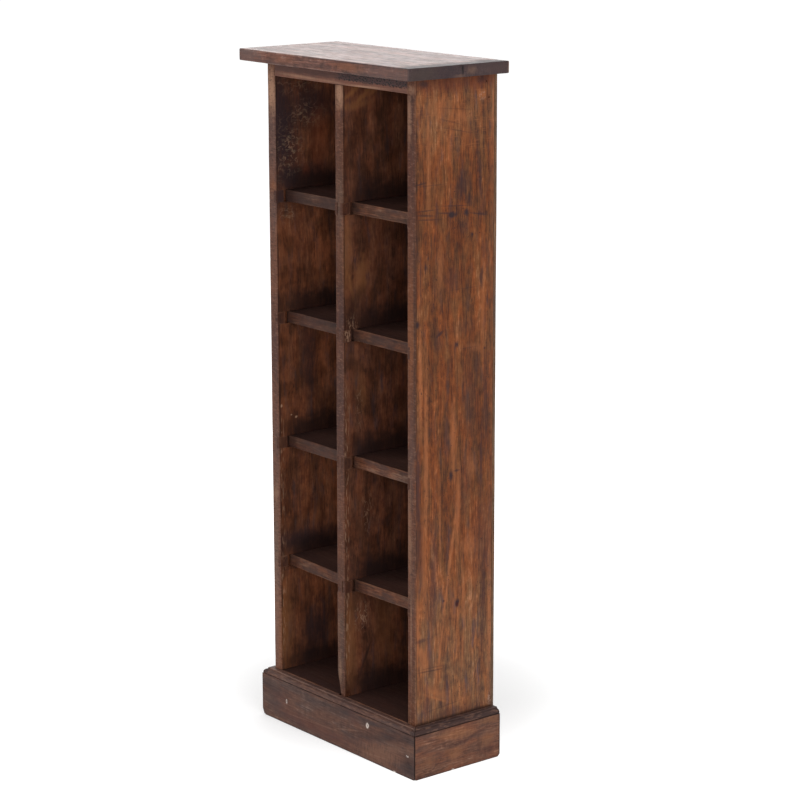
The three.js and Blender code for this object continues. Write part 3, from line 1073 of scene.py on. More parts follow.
def patchy(place, finish):
    """Large soft patches where stain was wiped on unevenly."""
    darkened(finish, ease(noise(place, PATCH_SIZE)["Fac"], 0.34, 0.66, 0.72, 1.34))


def painted_light_inside(place, finish, facing):
    """Painted light and shade: a wall is darker near the front and lighter further back."""
    darkened(finish, ease(parts_of(place)["Y"], FRONT - 20, FRONT + 85, 0.72, 1.5), facing)


def grime_and_shade_band(place, finish, levels, facing=1.0):
    """A smoky dark band above each level, partly grime and partly painted shade, darker towards the
    back, and painted shade in the back corner.
    """
    y, z = parts_of(place)["Y"], parts_of(place)["Z"]
    cloud = noise(place, (15.0, 15.0, 13.0), detail=3.0)["Fac"]
    ragged = (cloud - 0.5) * DARK_BAND_RAGGED + z
    band = 0.0
    for level in levels:
        fading = ease(ragged, level + DARK_BAND_FULL, level + DARK_BAND_GONE, 1.0, 0.0)
        band = most(band, ease(z, level - DARK_BAND_UNDER, level - DARK_BAND_UNDER + 2.0) * fading)
    deep = ease(y, FRONT + 8, FRONT + 44, 0.3, 1.0) * facing
    tint(finish, band * deep, GRIME_AND_SHADE, 0.84)
    # Painted shade in the back corner.
    tint(finish, ease(y, BACK - 30, BACK - 4) * facing, GRIME_AND_SHADE, 0.6)


def curly_lines(place, size, width):
    """Thin curly lines: where cloudy noise passes through its middle value."""
    off = abs(noise(place, size)["Fac"] - 0.5)
    return ease(off, width * 0.3, width, 1.0, 0.0)


def rough_front(place, finish, facing, low, high, strength):
    """Pale rough marks along the front arris of an inner face, between two heights."""
    y, z = parts_of(place)["Y"], parts_of(place)["Z"]
    rough = ease(noise(place, (1.8, 1.8, 12.0), detail=3.0)["Fac"], 0.52, 0.66)
    near = ease(y, FRONT + 3, FRONT + 13, 1.0, 0.0) * ease(y, FRONT + 0.5, FRONT + 1.5)
    tint(finish, rough * near * within(z, low, high, 30.0) * facing, PALE_SCRATCH, strength)


LEFT_KNOTS = [
    (84, 846, 8, 5, 0, 0.8),
    (46, 702, 5, 9, 10, 0.7),
    (100, 640, 4, 30, -6, 0.5),
    (28, 528, 3, 5, 0, 0.8),
    (74, 430, 6, 16, 12, 0.5),
    (112, 330, 4, 6, 0, 0.7),
    (40, 262, 9, 4, -8, 0.6),
    (88, 170, 3, 4, 0, 0.8),
    (18, 110, 14, 6, 0, 0.4),
]
OUTER_SHADE = (1.3, 1.22, 1.08, 1.0)
LEFT_GOLDEN = [(5, 130, 12, 60, 0, 0.85), (8, 190, 8, 24, 0, 0.4)]
LEFT_PURPLE = [
    (8, 840, 30, 74, 0, 0.95),
    (22, 776, 26, 22, 0, 0.9),
    (64, 776, 26, 16, 0, 0.7),
    (60, 872, 40, 26, 0, 0.85),
    (52, 520, 12, 60, 0, 0.6),
    (66, 118, 24, 34, 0, 0.75),
    (46, 258, 52, 15, 0, 0.8),
]
LEFT_GLOW = [(52, 778, 6, 8, 0, 0.5), (75, 820, 14, 40, 0, 0.35)]
LEFT_SCRATCHED = [
    (24, 812, 20, 26, 0, 0.9),
    (52, 858, 26, 16, 0, 0.7),
    (8, 800, 6, 50, 0, 0.4),
    (40, 900, 40, 12, 0, 0.5),
    (20, 722, 14, 10, 0, 0.6),
]
LEFT_SPOTS = [(30, 436, 2, 1.6, 20, 0.8), (5, 455, 1.6, 2.2, 0, 0.7), (22, 440, 1.5, 1, 0, 0.6)]
LEFT_EDGE = stain(98, 66, 54)
LEFT_EDGE_ZONES = [
    (MAUVE, [(-150, 830, 9, 50, 0, 0.6), (-149, 730, 9, 26, 0, 0.5), (-148, 400, 6, 60, 0, 0.4)]),
    (PURPLE_BROWN, [(-148, 530, 9, 36, 0, 0.5)]),
    (GREY_GREEN, [(-152, 250, 5, 60, 0, 0.5)]),
    (ORANGE_BROWN, [(-146, 110, 4, 44, 0, 0.6), (-148, 762, 6, 7, 0, 0.6)]),
    (EDGE_PALE, [(-152, 140, 6, 60, 0, 0.4)]),
    (TAN, [(-150, 893, 8, 25, 0, 0.9), (-150, 330, 5, 14, 0, 0.3)]),
]


def dress_left_side(place, finish):
    x = parts_of(place)["X"]
    outer_x, inner_x = (corner.x for corner in box_mm("side_left"))
    inner = ease(x, inner_x - 2.5, inner_x - 0.8)
    painted_light_inside(place, finish, inner)
    patchy(place, finish)
    outer = ease(x, outer_x + 0.8, outer_x + 2.4, 1.0, 0.0)
    shaded(finish, outer, OUTER_SHADE)
    lay(place, finish, "X", LEFT_KNOTS, KNOT_BROWN, outer, 1.1, soft=0.7, ragged=0.8)
    lay(place, finish, "X", LEFT_GOLDEN, GOLDEN, inner, 0.6, soft=0.8)
    # Dark purple-brown patches: partly dirt, and partly painted shade where they lie low in a compartment.
    lay(place, finish, "X", LEFT_PURPLE, PURPLE_BROWN, inner, 1.1, soft=0.8)
    lay(place, finish, "X", LEFT_GLOW, BURNT_ORANGE, inner, soft=0.8)
    grime_and_shade_band(place, finish, SHELF_TOPS["left"], inner)
    scratched = marks(place, "X", LEFT_SCRATCHED, soft=0.8) * inner
    broken = ease(noise(place, (6.0, 6.0, 6.0), 1.0)["Fac"], 0.4, 0.55)
    lines = curly_lines(place, (13.0, 13.0, 10.0), 0.045) * broken
    tint(finish, lines * scratched, PALE_SCRATCH, 0.4)
    strokes = noise(place, (9.0, 9.0, 3.2), detail=4.0, roughness=0.7)["Fac"]
    tint(finish, ease(strokes, 0.5, 0.68) * scratched, DUSTY_GREEN, 0.75)
    lay(place, finish, "X", LEFT_SPOTS, PALE_SCRATCH, inner, soft=0.4)
    rough_front(place, finish, inner, 110.0, 420.0, 0.45)
    behind_arris(place, finish, inner, 0.8)
    front_edge_stain_and_sheen(place, finish, LEFT_EDGE, 0.6, LEFT_EDGE_ZONES)


left_side_finish = wood_finish("left side stain", PATINA_LOOK, 0.5, 0.1, 0.16, dress_left_side)
print("shelf tops:", {column: [round(top) for top in tops] for column, tops in SHELF_TOPS.items()})

# %% Side boards
SIDE_SPACING = 0.0035
SIDE_ARRIS = 0.0011
HOUSING_DEPTH = 5.0
OVERCUT = 3.0
SHELF_SLIPS = {
    ("left", 1): (4.2, -0.026),
    ("left", 2): (0.9, 0.0),
    ("left", 4): (1.6, 0.0),
    ("right", 1): (2.8, 0.013),
    ("right", 2): (1.0, 0.0),
    ("right", 3): (1.2, 0.0),
}


def slip(column, row):
    """How far a shelf sits above its place in the frame, in millimetres, and its slope along X."""
    return SHELF_SLIPS.get((column, row), (0.0, 0.0))


def cut_box(inner_x, direction, low, high):
    """A block that cuts a housing into a face at inner_x, towards direction, between two heights."""
    deep = sorted((inner_x - direction * OVERCUT, inner_x + direction * HOUSING_DEPTH))
    return ((deep[0], FRONT - OVERCUT, low - SEAM), (deep[1], BACK + OVERCUT, high + SEAM))


def housings(inner_x, direction, column):
    """The blocks for the shelves of one column."""
    blocks = []
    for row in ROWS:
        low, high = box_mm(f"shelf_{column}_{row}")
        raised, slant = slip(column, row)
        up = raised + slant * (inner_x - (low.x + high.x) / 2)
        blocks.append(cut_box(inner_x, direction, low.z + up, high.z + up))
    return blocks


def worn_board(name, node, finish, slot, cuts=None, swell=0.0, raised=0.0, **settings):
    """A board in a node's place. A swollen one fills the seams above and below it."""
    low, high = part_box(node)
    low.z += raised * MM - swell
    high.z += raised * MM + swell
    values = {
        "Low": tuple(low),
        "High": tuple(high),
        "Spacing": 0.003,
        "Arris": 0.001,
        "Wear": 0.5,
        "Nicks": 0.8,
        "Wave": 0.0006,
        "Lean": 0.0,
        "Tilt": 0.0,
        "Turn": GRAIN_UP,
        "Seed": 0.0,
        "Has Cuts": cuts is not None,
        "Finish": finish,
    }
    if cuts is not None:
        values["Cuts"] = cuts
    values.update(settings)
    piece = grow(name, board, values)
    settle(piece, slot, node)
    return piece


bottom_low, bottom_high = box_mm("bottom_board")
side_finishes = {"side_left": left_side_finish, "side_right": right_side_finish}
for node, direction, column, seed in (("side_left", -1, "left", 1.0), ("side_right", 1, "right", 4.0)):
    inner_x = box_mm(node)[0].x if direction > 0 else box_mm(node)[1].x
    cuts = housings(inner_x, direction, column)
    cuts.append(cut_box(inner_x, direction, bottom_low.z, bottom_high.z))
    holes = [(OUTER_X - HOLE_DEEP, across + FRONT, up) for across, up in NAIL_HOLES]
    bores = [(foot, (HOLE_DEEP + 2, 0, 0), HOLE_RADIUS) for foot in holes]
    cutting = cutters(f"{node} joints", cuts, bores=bores if direction > 0 else ())
    settings = {"Spacing": SIDE_SPACING, "Arris": SIDE_ARRIS, "Seed": seed}
    worn_board(f"{node}_board", node, side_finishes[node], "side_stain", cutting, **settings)

# %% [markdown]
# ## The divider, rails and bottom board
#
# The divider leans about four millimetres over its height. Its foot was trimmed with a chisel, and
# a chip has broken away on the right. Both are cut, since they change its outline. The rail under
# the top shows dotted marks of a rasp. The same wood finish serves them all, with darker values.

# %% Finishes inside the carcass
FRAME_LOOK = {
    **PANEL_LOOK,
    "Deep": stain(50, 29, 22),
    "Brown": stain(80, 46, 32),
    "Amber": stain(104, 62, 43),
    "Pale": stain(142, 98, 74),
    "Ring": 4.4,
    "Rubbed": 0.5,
}
SHELF_LOOK = {
    **PANEL_LOOK,
    "Deep": stain(42, 26, 20),
    "Brown": stain(70, 43, 31),
    "Amber": stain(96, 60, 43),
    "Pale": stain(130, 92, 72),
    "Rubbed": 0.5,
}
PLUG_LOOK = {
    **PATINA_LOOK,
    "Streak": 1.4,
    "Ring": 2.0,
    "Wander": 4.0,
}
SHELF_TOP_DARK = stain(54, 37, 34)
SHELF_TOP_DUSTY = stain(78, 55, 49)
SHELF_FRONT_DIM = stain(44, 30, 28)
RAIL_PINK = stain(112, 78, 68)
RAIL_SHADE = stain(66, 43, 39)
RASP_DARK = stain(52, 38, 42)
LINE_BLACK = stain(26, 19, 19)
DIVIDER_FRONT_PAINTED_SHADE = (0.84, 0.88, 0.98, 1.0)
DIVIDER_REAR_PAINTED_LIGHT = (0.95, 0.98, 1.08, 1.0)
PLUG_SHADE = (0.8, 0.84, 0.92, 1.0)
ABOVE_FLOOR = (80.0, 100.0)
ABOVE_LOWEST_SHELF = (245.0, 260.0)
ABOVE_THIRD_SHELF = (700.0, 720.0)
ABOVE_THIRD_PLUGS = (690.0, 700.0)
DIVIDER_GLOW = [(6, 150, 13, 56, 0, 0.8), (5, 690, 9, 46, 0, 0.7), (70, 160, 16, 50, 0, 0.4)]
DIVIDER_FLAME = [
    (16, 902, 12, 3, 34, 0.7),
    (34, 896, 16, 3.4, 38, 0.7),
    (52, 902, 12, 3, 40, 0.6),
    (24, 886, 18, 5, 10, 0.5),
    (30, 655, 10, 26, -14, 0.45),
    (14, 640, 3, 24, 16, 0.4),
    (30, 500, 8, 26, 10, 0.35),
]
DIVIDER_SCRATCHED = [
    (30, 180, 10, 18, 0, 0.8),
    (26, 480, 5, 26, 0, 0.6),
    (14, 590, 8, 12, 0, 0.6),
    (40, 330, 8, 26, 0, 0.5),
]
DIVIDER_GRIME_AND_SHADE = [
    (38, 124, 2.0, 20, -24, 0.6),
    (62, 240, 20, 34, 0, 0.35),
    (26, 624, 15, 15, 0, 0.5),
    (22, 490, 9, 50, 0, 0.3),
]
DIVIDER_EDGE = stain(85, 55, 43)
DIVIDER_EDGE_ZONES = [
    (PURPLE_BROWN, [(0, 470, 10, 90, 0, 0.5), (2, 612, 9, 36, 0, 0.6), (2, 140, 9, 34, 0, 0.4)]),
    (GREY_GREEN, [(-5, 165, 7, 32, 0, 0.3), (-6, 112, 6, 26, 0, 0.35), (1, 760, 9, 30, 0, 0.3)]),
    (TAN, [(1, 901, 7, 16, 0, 0.8), (-6, 104, 3, 14, 0, 0.3)]),
]


def dress_divider(place, finish):
    face_x = box_mm("centre_divider")[1].x
    right_face = ease(parts_of(place)["X"], face_x - 3.0, face_x - 1.6)
    depth = ease(parts_of(place)["Y"], FRONT + 10, FRONT + 70)
    # Painted shade near the front of the right face, painted light further back.
    shaded(finish, right_face, mixed(depth, DIVIDER_FRONT_PAINTED_SHADE, DIVIDER_REAR_PAINTED_LIGHT))
    patchy(place, finish)
    lay(place, finish, "X", DIVIDER_GLOW, GOLDEN, right_face, 0.6, soft=0.8)
    tint(finish, marks(place, "X", DIVIDER_FLAME, soft=0.8, ragged=1.2), GOLDEN)
    grime_and_shade_band(place, finish, SHELF_TOPS["right"])
    scratched = marks(place, "X", DIVIDER_SCRATCHED, soft=0.8) * right_face
    tint(finish, curly_lines(place, (6.0, 6.0, 14.0), 0.03) * scratched, PALE_SCRATCH, 0.6)
    # Dark patches, partly grime and partly painted shade above the shelves.
    lay(place, finish, "X", DIVIDER_GRIME_AND_SHADE, GRIME_AND_SHADE, right_face, soft=0.7)
    rough_front(place, finish, right_face, 110.0, 490.0, 0.55)
    behind_arris(place, finish, right_face)
    front_edge_stain_and_sheen(place, finish, DIVIDER_EDGE, 0.6, DIVIDER_EDGE_ZONES)


def dress_shelf(place, finish):
    """Darker fronts where the shelf stands in shade, and a top that turns dusty further in."""
    x, y, z = parts_of(place)
    top = ease(finish["rise"], 7.0, 7.8)
    in_left_column = ease(x, -20.0, 0.0, 1.0, 0.3) * ease(z, *ABOVE_LOWEST_SHELF, 0.2, 1.0)
    uppermost_left = ease(z, *ABOVE_THIRD_SHELF) * ease(x, -120.0, -70.0, 1.5, 0.2)
    tint(finish, most(in_left_column, uppermost_left), SHELF_FRONT_DIM, 0.55)
    above_floor = ease(z, *ABOVE_FLOOR)
    further_in = ease(y, FRONT + 22.0, FRONT + 62.0) * above_floor
    dusty = mixed(further_in, SHELF_TOP_DARK, SHELF_TOP_DUSTY)
    tint(finish, top * ease(finish["arris"], 0.6, 2.6), dusty, 0.85)
    # Painted shadow on the shelf tops in the corner by the divider.
    divider_corner_shade = ease(x, 34.0, 84.0, 1.0, 0.0) * ease(x, 0.0, 4.0) * above_floor
    hidden = divider_corner_shade * ease(y, FRONT + 32.0, FRONT + 60.0)
    tint(finish, hidden * top, GRIME_AND_SHADE, 0.45)
    left_ends = most(ease(x, -134.0, -122.0, 1.0, 0.0), within(x, 0.0, 10.0, 12.0))
    tint(finish, left_ends, SHELF_FRONT_DIM, 0.35)
    front_edge = ease(y, FRONT + 19.0, FRONT + 23.0, 1.0, 0.0)
    smudge = ease(noise(place, (26.0, 26.0, 12.0), detail=3.0)["Fac"], 0.45, 0.62)
    tint(finish, smudge * front_edge, SHELF_TOP_DARK, 0.5)


def dress_plug(place, finish):
    """Darker than the boards, in painted shade like the walls round them, with pale scratches by one
    right shelf and the lowest left one.
    """
    x, z = parts_of(place)["X"], parts_of(place)["Z"]
    second = marks(place, "X", [(7, 578, 6, 8, 0, 0.7)])
    lowest = marks(place, "X", [(6, 240, 5, 7, 0, 0.4)])
    on_left = ease(x, -80.0, -70.0, 1.0, 0.0)
    pale = most(lowest * on_left, second) * most(on_left, ease(x, 0.0, 1.0)) - second * on_left
    rough = ease(noise(place, (1.8, 1.8, 4.0), detail=3.0)["Fac"], 0.42, 0.6)
    # Painted shade, like that on the walls round the plugs.
    tint(finish, 1.0, GRIME_AND_SHADE, 0.35)
    shaded(finish, 1.0, PLUG_SHADE)
    tint(finish, ease(z, *ABOVE_THIRD_PLUGS) * on_left, PURPLE_BROWN, 0.7)
    tint(finish, pale * rough, PALE_SCRATCH, 0.7)
    front_edge_stain_and_sheen(place, finish)


RAIL_STREAKS = [
    (-80, 916.5, 40, 1.6, 1, 0.6),
    (55, 914.5, 34, 1.2, -1, 0.8),
    (-20, 915.5, 26, 1.2, 1, 0.5),
]


def dress_rail(place, finish):
    """Pinkish and rubbed low down; under the overhang a painted shadow and a darker finish, where a
    rasp has left its dots.
    """
    foot = box_mm("top_rail")[0].z
    height = noise(place, (22.0, 9.0, 9.0), detail=3.0)["Fac"] * 5.0 + parts_of(place)["Z"]
    tint(finish, 1.0, RAIL_PINK, 0.45)
    tint(finish, marks(place, "Y", RAIL_STREAKS, soft=0.9), TAN, 0.9)
    # Painted shadow of the top's overhang, with a darker finish.
    tint(finish, ease(height, foot + 8.8, foot + 12.3), RAIL_SHADE, 0.7)
    right = ease(parts_of(place)["X"], -12.0, 10.0)
    tint(finish, ease(height, foot + 7.8, foot + 11.3) * right, RASP_DARK, 0.55)
    dots = ease(noise(place, (3.6, 3.0, 1.6), 1.0)["Fac"], 0.5, 0.58)
    rows = dots * within(height, foot + 9.3, foot + 20.3, 1.5) * right
    tint(finish, rows, LINE_BLACK)
    finish["height"] = finish["height"] - rows


frame_finish = wood_finish("frame stain", FRAME_LOOK, 0.52, 0.1, 0.14)
divider_finish = wood_finish("divider stain", PATINA_LOOK, 0.52, 0.1, 0.14, dress_divider)
rail_finish = wood_finish("rail stain", FRAME_LOOK, 0.5, 0.14, 0.25, dress_rail)
shelf_finish = wood_finish("shelf stain", SHELF_LOOK, 0.5, 0.1, 0.12, dress_shelf)
plug_finish = wood_finish("plug end grain", PLUG_LOOK, 0.6, 0.1, 0.2, dress_plug)
print("frame, rail, shelf and plug finishes made")

# %% The divider
DIVIDER_LEAN = 0.0044
TAPER = (8.5, 8.0, 37.0)
CHIP_FRONT, CHIP_BACK, CHIP_HEIGHT, CHIP_DEEP = 1.0, 10.5, 11.0, 4.0

divider_low, divider_high = box_mm("centre_divider")
rail_low, rail_high = box_mm("top_rail")
floor_top = bottom_high.z


def corner_hull(corner, reach, over=3.0):
    """A tetrahedron that takes off a corner along a plane, reaching along each axis from it."""
    share = [over / length for length in reach]
    foot = Vector(corner) - Vector((over, over, over))
    points = [foot]
    for axis, length in enumerate(reach):
        grown = length * (1 + sum(share) - share[axis])
        tip = foot.copy()
        tip[axis] = corner[axis] + grown
        points.append(tip)
    return points


taper_corner = (divider_low.x, FRONT, floor_top)
chip_x = divider_high.x
CHIP_CORNERS = [
    (-CHIP_DEEP, CHIP_FRONT, CHIP_BACK, -5.0),
    (-CHIP_DEEP * 0.8, CHIP_FRONT + 0.6, CHIP_BACK - 1.4, 4.0),
    (0.4, CHIP_FRONT + 2.2, CHIP_BACK - 3.4, CHIP_HEIGHT),
    (3.0, CHIP_FRONT - 1.2, CHIP_BACK + 0.6, -5.0),
    (3.0, CHIP_FRONT + 1.5, CHIP_BACK - 2.4, CHIP_HEIGHT + 1),
]
chip = []
for out, near, far, up in CHIP_CORNERS:
    chip += [(chip_x + out, FRONT + across, floor_top + up) for across in (near, far)]
notch_low = (divider_low.x - OVERCUT, FRONT - OVERCUT, rail_low.z - SEAM)
notch_high = (divider_high.x + OVERCUT, rail_high.y + SEAM, divider_high.z + OVERCUT)
divider_blocks = housings(divider_low.x, 1, "left") + housings(divider_high.x, -1, "right")
divider_blocks.append((notch_low, notch_high))
divider_hulls = [corner_hull(taper_corner, TAPER), chip]
divider_cuts = cutters("divider joints", divider_blocks, divider_hulls)
settings = {"Spacing": SIDE_SPACING, "Arris": SIDE_ARRIS, "Lean": DIVIDER_LEAN, "Seed": 7.0}
worn_board("divider_board", "centre_divider", divider_finish, "frame_stain", divider_cuts, **settings)

# %% Rail, bottom board and base rail
settings = {"Spacing": 0.002, "Turn": GRAIN_ALONG_X, "Seed": 9.0}
worn_board("rail_board", "top_rail", rail_finish, "frame_stain", **settings)
groove_low = (divider_low.x - SEAM, FRONT - OVERCUT, divider_low.z - SEAM)
groove_high = (divider_high.x + SEAM, BACK + OVERCUT, bottom_high.z + OVERCUT)
groove = cutters("divider groove", [(groove_low, groove_high)])
settings = {"Turn": GRAIN_ALONG_X, "Seed": 11.0}
worn_board("bottom_floor", "bottom_board", shelf_finish, "frame_stain", groove, **settings)
base_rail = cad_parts["base_rail"]
base_rail.data.materials.clear()
base_rail.data.materials.append(frame_finish)
print("the base rail keeps its own solid, since it is hidden")

# %% [markdown]
# ## Shelves and plugs
#
# Eight shelves sit in housings, back from the front, and a small plug fills each housing in front
# of its shelf. The plugs end in cross grain, which takes stain unevenly. They are darker than the
# boards, in painted shade like the walls round them, and the plugs by one right shelf and by the
# lowest left one carry pale scratches. A few shelves sit a little higher than the rule, and two
# slope. All are the same tree with other corners and seeds.

# %% Shelves and their plugs
for column in ("left", "right"):
    for row in ROWS:
        seed = row * 3.0 + (20.0 if column == "left" else 40.0)
        node = f"shelf_{column}_{row}"
        raised, slant = slip(column, row)
        low, high = box_mm(node)
        shelf_middle = (low.x + high.x) / 2
        settings = {"Turn": GRAIN_ALONG_X, "Tilt": slant, "raised": raised, "Seed": seed}
        worn_board(f"{node}_board", node, shelf_finish, "shelf_stain", **settings)
        for end, inner_x in (("left_end", low.x), ("right_end", high.x)):
            node = f"plug_{column}_{row}_{end}"
            seed += 0.7
            settings = {"Spacing": 0.0014, "Arris": 0.0002, "Nicks": 1.0, "Wave": 0.0003}
            settings["raised"] = raised + slant * (inner_x - shelf_middle)
            settings.update({"swell": 0.0003, "Seed": seed})
            worn_board(f"{node}_board", node, plug_finish, "end_grain", **settings)

# %% [markdown]
# ## The top board
#
# The top overhangs the carcass on three sides. Seen so low it mostly shows the soft gloss of its
# wax: a broad pale sheen with the grain just visible, that dies away where the board rounds over.
# Its right end is open end grain with a short drying crack, which is cut as a thin wedge.

# %% The top board
TOP_LOOK = {
    "Deep": stain(52, 32, 28),
    "Brown": stain(86, 54, 45),
    "Amber": stain(110, 70, 57),
    "Pale": stain(152, 116, 102),
    "Slate": stain(72, 56, 58),
    "Contrast": 1.5,
    "Slate Share": 0.1,
    "Hue Share": 0.7,
    "Curl": 0.2,
    "Fine": 1.15,
    "Mottle": 1.0,
    "Rubbed": 0.55,
    "Ring": 3.2,
    "Streak": 2.4,
    "Wander": 9.0,
}
END_GREY = stain(51, 43, 46)
TOP_WAX = 0.25
TOP_DARK = stain(46, 34, 35)
CRACK_ACROSS = 57.6
CRACK_FOOT = 941.0
CRACK_LENGTH = 7.0
CRACK_WIDE = 0.8

top_low, top_high = box_mm("top_board")

END_ZONES = (
    (GREY_GREEN, [(-8, 940, 20, 8, 0, 0.35)]),
    (MAUVE, [(110, 942, 26, 10, 0, 0.3)]),
    (TAN, [(74, 941, 8, 5, 0, 0.2), (54, 935, 8, 2, 0, 0.2), (136, 941, 1.2, 8, 0, 0.4)]),
    (LINE_BLACK, [(59, 943, 1.5, 8, 0, 1.0)]),
    (TOP_DARK, [(56, 947, 4, 1.0, 20, 0.7), (-18, 946, 7, 2, 0, 0.5), (-8, 939, 34, 9, 0, 0.45)]),
)
EDGE_DARKS = [(-112, 937, 12, 4, 10, 0.5), (60, 948.6, 150, 1.2, 0, 0.7), (110, 933.5, 70, 1.2, 0, 0.6)]
EDGE_ZONES = (
    (MAUVE, [(-165, 940, 30, 12, 0, 0.7), (140, 941, 60, 10, 0, 0.6)]),
    (ORANGE_BROWN, [(60, 942, 26, 5, 0, 0.5), (-85, 941, 24, 5, 0, 0.3)]),
    (TOP_DARK, EDGE_DARKS),
)
DARK_SPOTS = [
    (-3, 8.15, 7, 2.6, 12, 0.9),
    (-158, 18, 7, 3.0, 0, 0.6),
    (140, 22, 12, 3.0, 0, 0.5),
    (150, 72, 14, 3.0, 0, 0.5),
    (110, 90, 10, 3, 0, 0.3),
    (-20, 112, 16, 4, 0, 0.3),
]


def dress_top(place, finish):
    """Grey end grain, a front edge with patches, and wax that dies away towards the right end."""
    x, y, z = parts_of(place)
    right_end = ease(x, top_high.x - 2.5, top_high.x - 0.8)
    left_end = ease(x, top_low.x + 0.8, top_low.x + 2.5, 1.0, 0.0)
    ends = most(right_end, left_end)
    tint(finish, ends, END_GREY, 0.88)
    for colour, where in END_ZONES:
        lay(place, finish, "X", where, colour, right_end, soft=0.7, ragged=0.8)
    front_edge = ease(y, top_low.y + 0.5, top_low.y + 2.0, 1.0, 0.0)
    for colour, where in EDGE_ZONES:
        lay(place, finish, "Y", where, colour, front_edge, soft=0.7, ragged=1.0)
    from_right = top_high.x - x
    ragged = noise(place, (22.0, 7.0, 7.0), detail=4.0, roughness=0.6)["Fac"] - 0.5
    flat = ease(z, top_high.z - 1.0, top_high.z - 0.4)
    worn = ease(ragged * 34.0 + from_right, 14.0, 32.0, 1.0, 0.0)
    tint(finish, worn * flat, TOP_DARK, 0.9)
    spots = lay(place, finish, "Z", DARK_SPOTS, TOP_DARK, flat, ragged=1.0)
    waxed = ease(ragged * 40.0 + from_right, 17.0, 44.0) * flat
    lip = ease(ragged * 8.0 + (y - top_low.y), 1.0, 6.0, 0.2, 1.0)
    lines = noise(finish["grain"], (3.4, 3.4, 26.0), detail=5.0, roughness=0.75)["Fac"]
    lines = ease(lines, 0.3, 0.7, 0.25, 1.65)
    finish["coat"] = waxed * lip * (1.0 - spots) * lines * TOP_WAX
    finish["roughness"] = ends * 0.2 + finish["roughness"]


top_finish = wood_finish("top stain", TOP_LOOK, 0.5, 0.2, 0.08, dress_top)
crack_y = CRACK_ACROSS + FRONT
crack = [
    (top_high.x - CRACK_LENGTH, crack_y, top_high.z + 1),
    (top_high.x - CRACK_LENGTH, crack_y + 0.1, top_high.z + 1),
    (top_high.x + 1, crack_y - CRACK_WIDE / 2, top_high.z + 1),
    (top_high.x + 1, crack_y + CRACK_WIDE / 2, top_high.z + 1),
    (top_high.x + 1, crack_y, CRACK_FOOT),
    (top_high.x + 1, crack_y + 0.1, CRACK_FOOT),
]
settings = {"Arris": 0.0016, "Turn": GRAIN_ALONG_X, "Seed": 2.0}
drying_crack = cutters("drying crack", hulls=[crack])
worn_board("top_slab", "top_board", top_finish, "top_stain", drying_crack, **settings)

# %% [markdown]
# ## The plinth
#
# The plinth is a moulding: one section run along three boards, mitred where they meet. A second
# tree does just that. It sweeps the section along a line, slides the points at the ends so that
# they lie in the mitre, lifts the lower corners that have worn away, and turns the board into
# place. The section itself has a flat face, a narrow quirk, a quarter round and a fillet.

# %% The section of the moulding
FRONT_THICK = 13.0
SIDE_THICK = 14.0
ROUND_RADIUS = 5.2
FILLET_HEIGHT = 2.0
QUIRK_STEP = 0.8
QUIRK_DEEP = 0.9
QUIRK_WIDE = 1.3
FOOT_ARRIS = 1.4
FOOT_STEPS, FACE_STEPS, ROUND_STEPS, BACK_STEPS = 4, 28, 9, 6


def section_points(thick):
    """The section's outline: out from the back, then up, in millimetres."""
    face_top = PLINTH_HEIGHT - FILLET_HEIGHT - ROUND_RADIUS
    width = (thick - FOOT_ARRIS - SEAM) / FOOT_STEPS
    points = [(SEAM + width * step, 0.0) for step in range(FOOT_STEPS)]
    for step in range(FOOT_STEPS + 1):
        turn = math.radians(90 * step / FOOT_STEPS)
        out = thick - FOOT_ARRIS + FOOT_ARRIS * math.sin(turn)
        points.append((out, FOOT_ARRIS - FOOT_ARRIS * math.cos(turn)))
    quirk_low = face_top - QUIRK_WIDE
    rise = (quirk_low - FOOT_ARRIS) / FACE_STEPS
    points += [(thick, FOOT_ARRIS + rise * step) for step in range(1, FACE_STEPS + 1)]
    points.append((thick - 0.3, quirk_low + 0.25))
    points.append((thick - QUIRK_STEP - QUIRK_DEEP, face_top - 0.45))
    points.append((thick - QUIRK_STEP - QUIRK_DEEP, face_top - 0.15))
    middle_out = thick - QUIRK_STEP - ROUND_RADIUS
    for step in range(ROUND_STEPS + 1):
        turn = math.radians(90 * step / ROUND_STEPS)
        points.append((middle_out + ROUND_RADIUS * math.cos(turn), face_top + ROUND_RADIUS * math.sin(turn)))
    points.append((middle_out, PLINTH_HEIGHT - 0.6))
    points.append((middle_out - 0.2, PLINTH_HEIGHT - 0.15))
    points.append((middle_out - 0.6, PLINTH_HEIGHT))
    points.append((SEAM, PLINTH_HEIGHT))
    points += [(SEAM, PLINTH_HEIGHT * (1 - step / BACK_STEPS)) for step in range(1, BACK_STEPS)]
    return points


def section_curve(name, thick):
    """The section as a closed curve. A swept section lies the other way up, so its signs turn."""
    curve = bpy.data.curves.new(name, "CURVE")
    spline = curve.splines.new("POLY")
    points = section_points(thick)
    spline.points.add(len(points) - 1)
    for target, (out, up) in zip(spline.points, points):
        target.co = (-out * MM, -up * MM, 0.0, 1.0)
    spline.use_cyclic_u = True
    return bpy.data.objects.new(name, curve)


print("section points:", len(section_points(SIDE_THICK)))

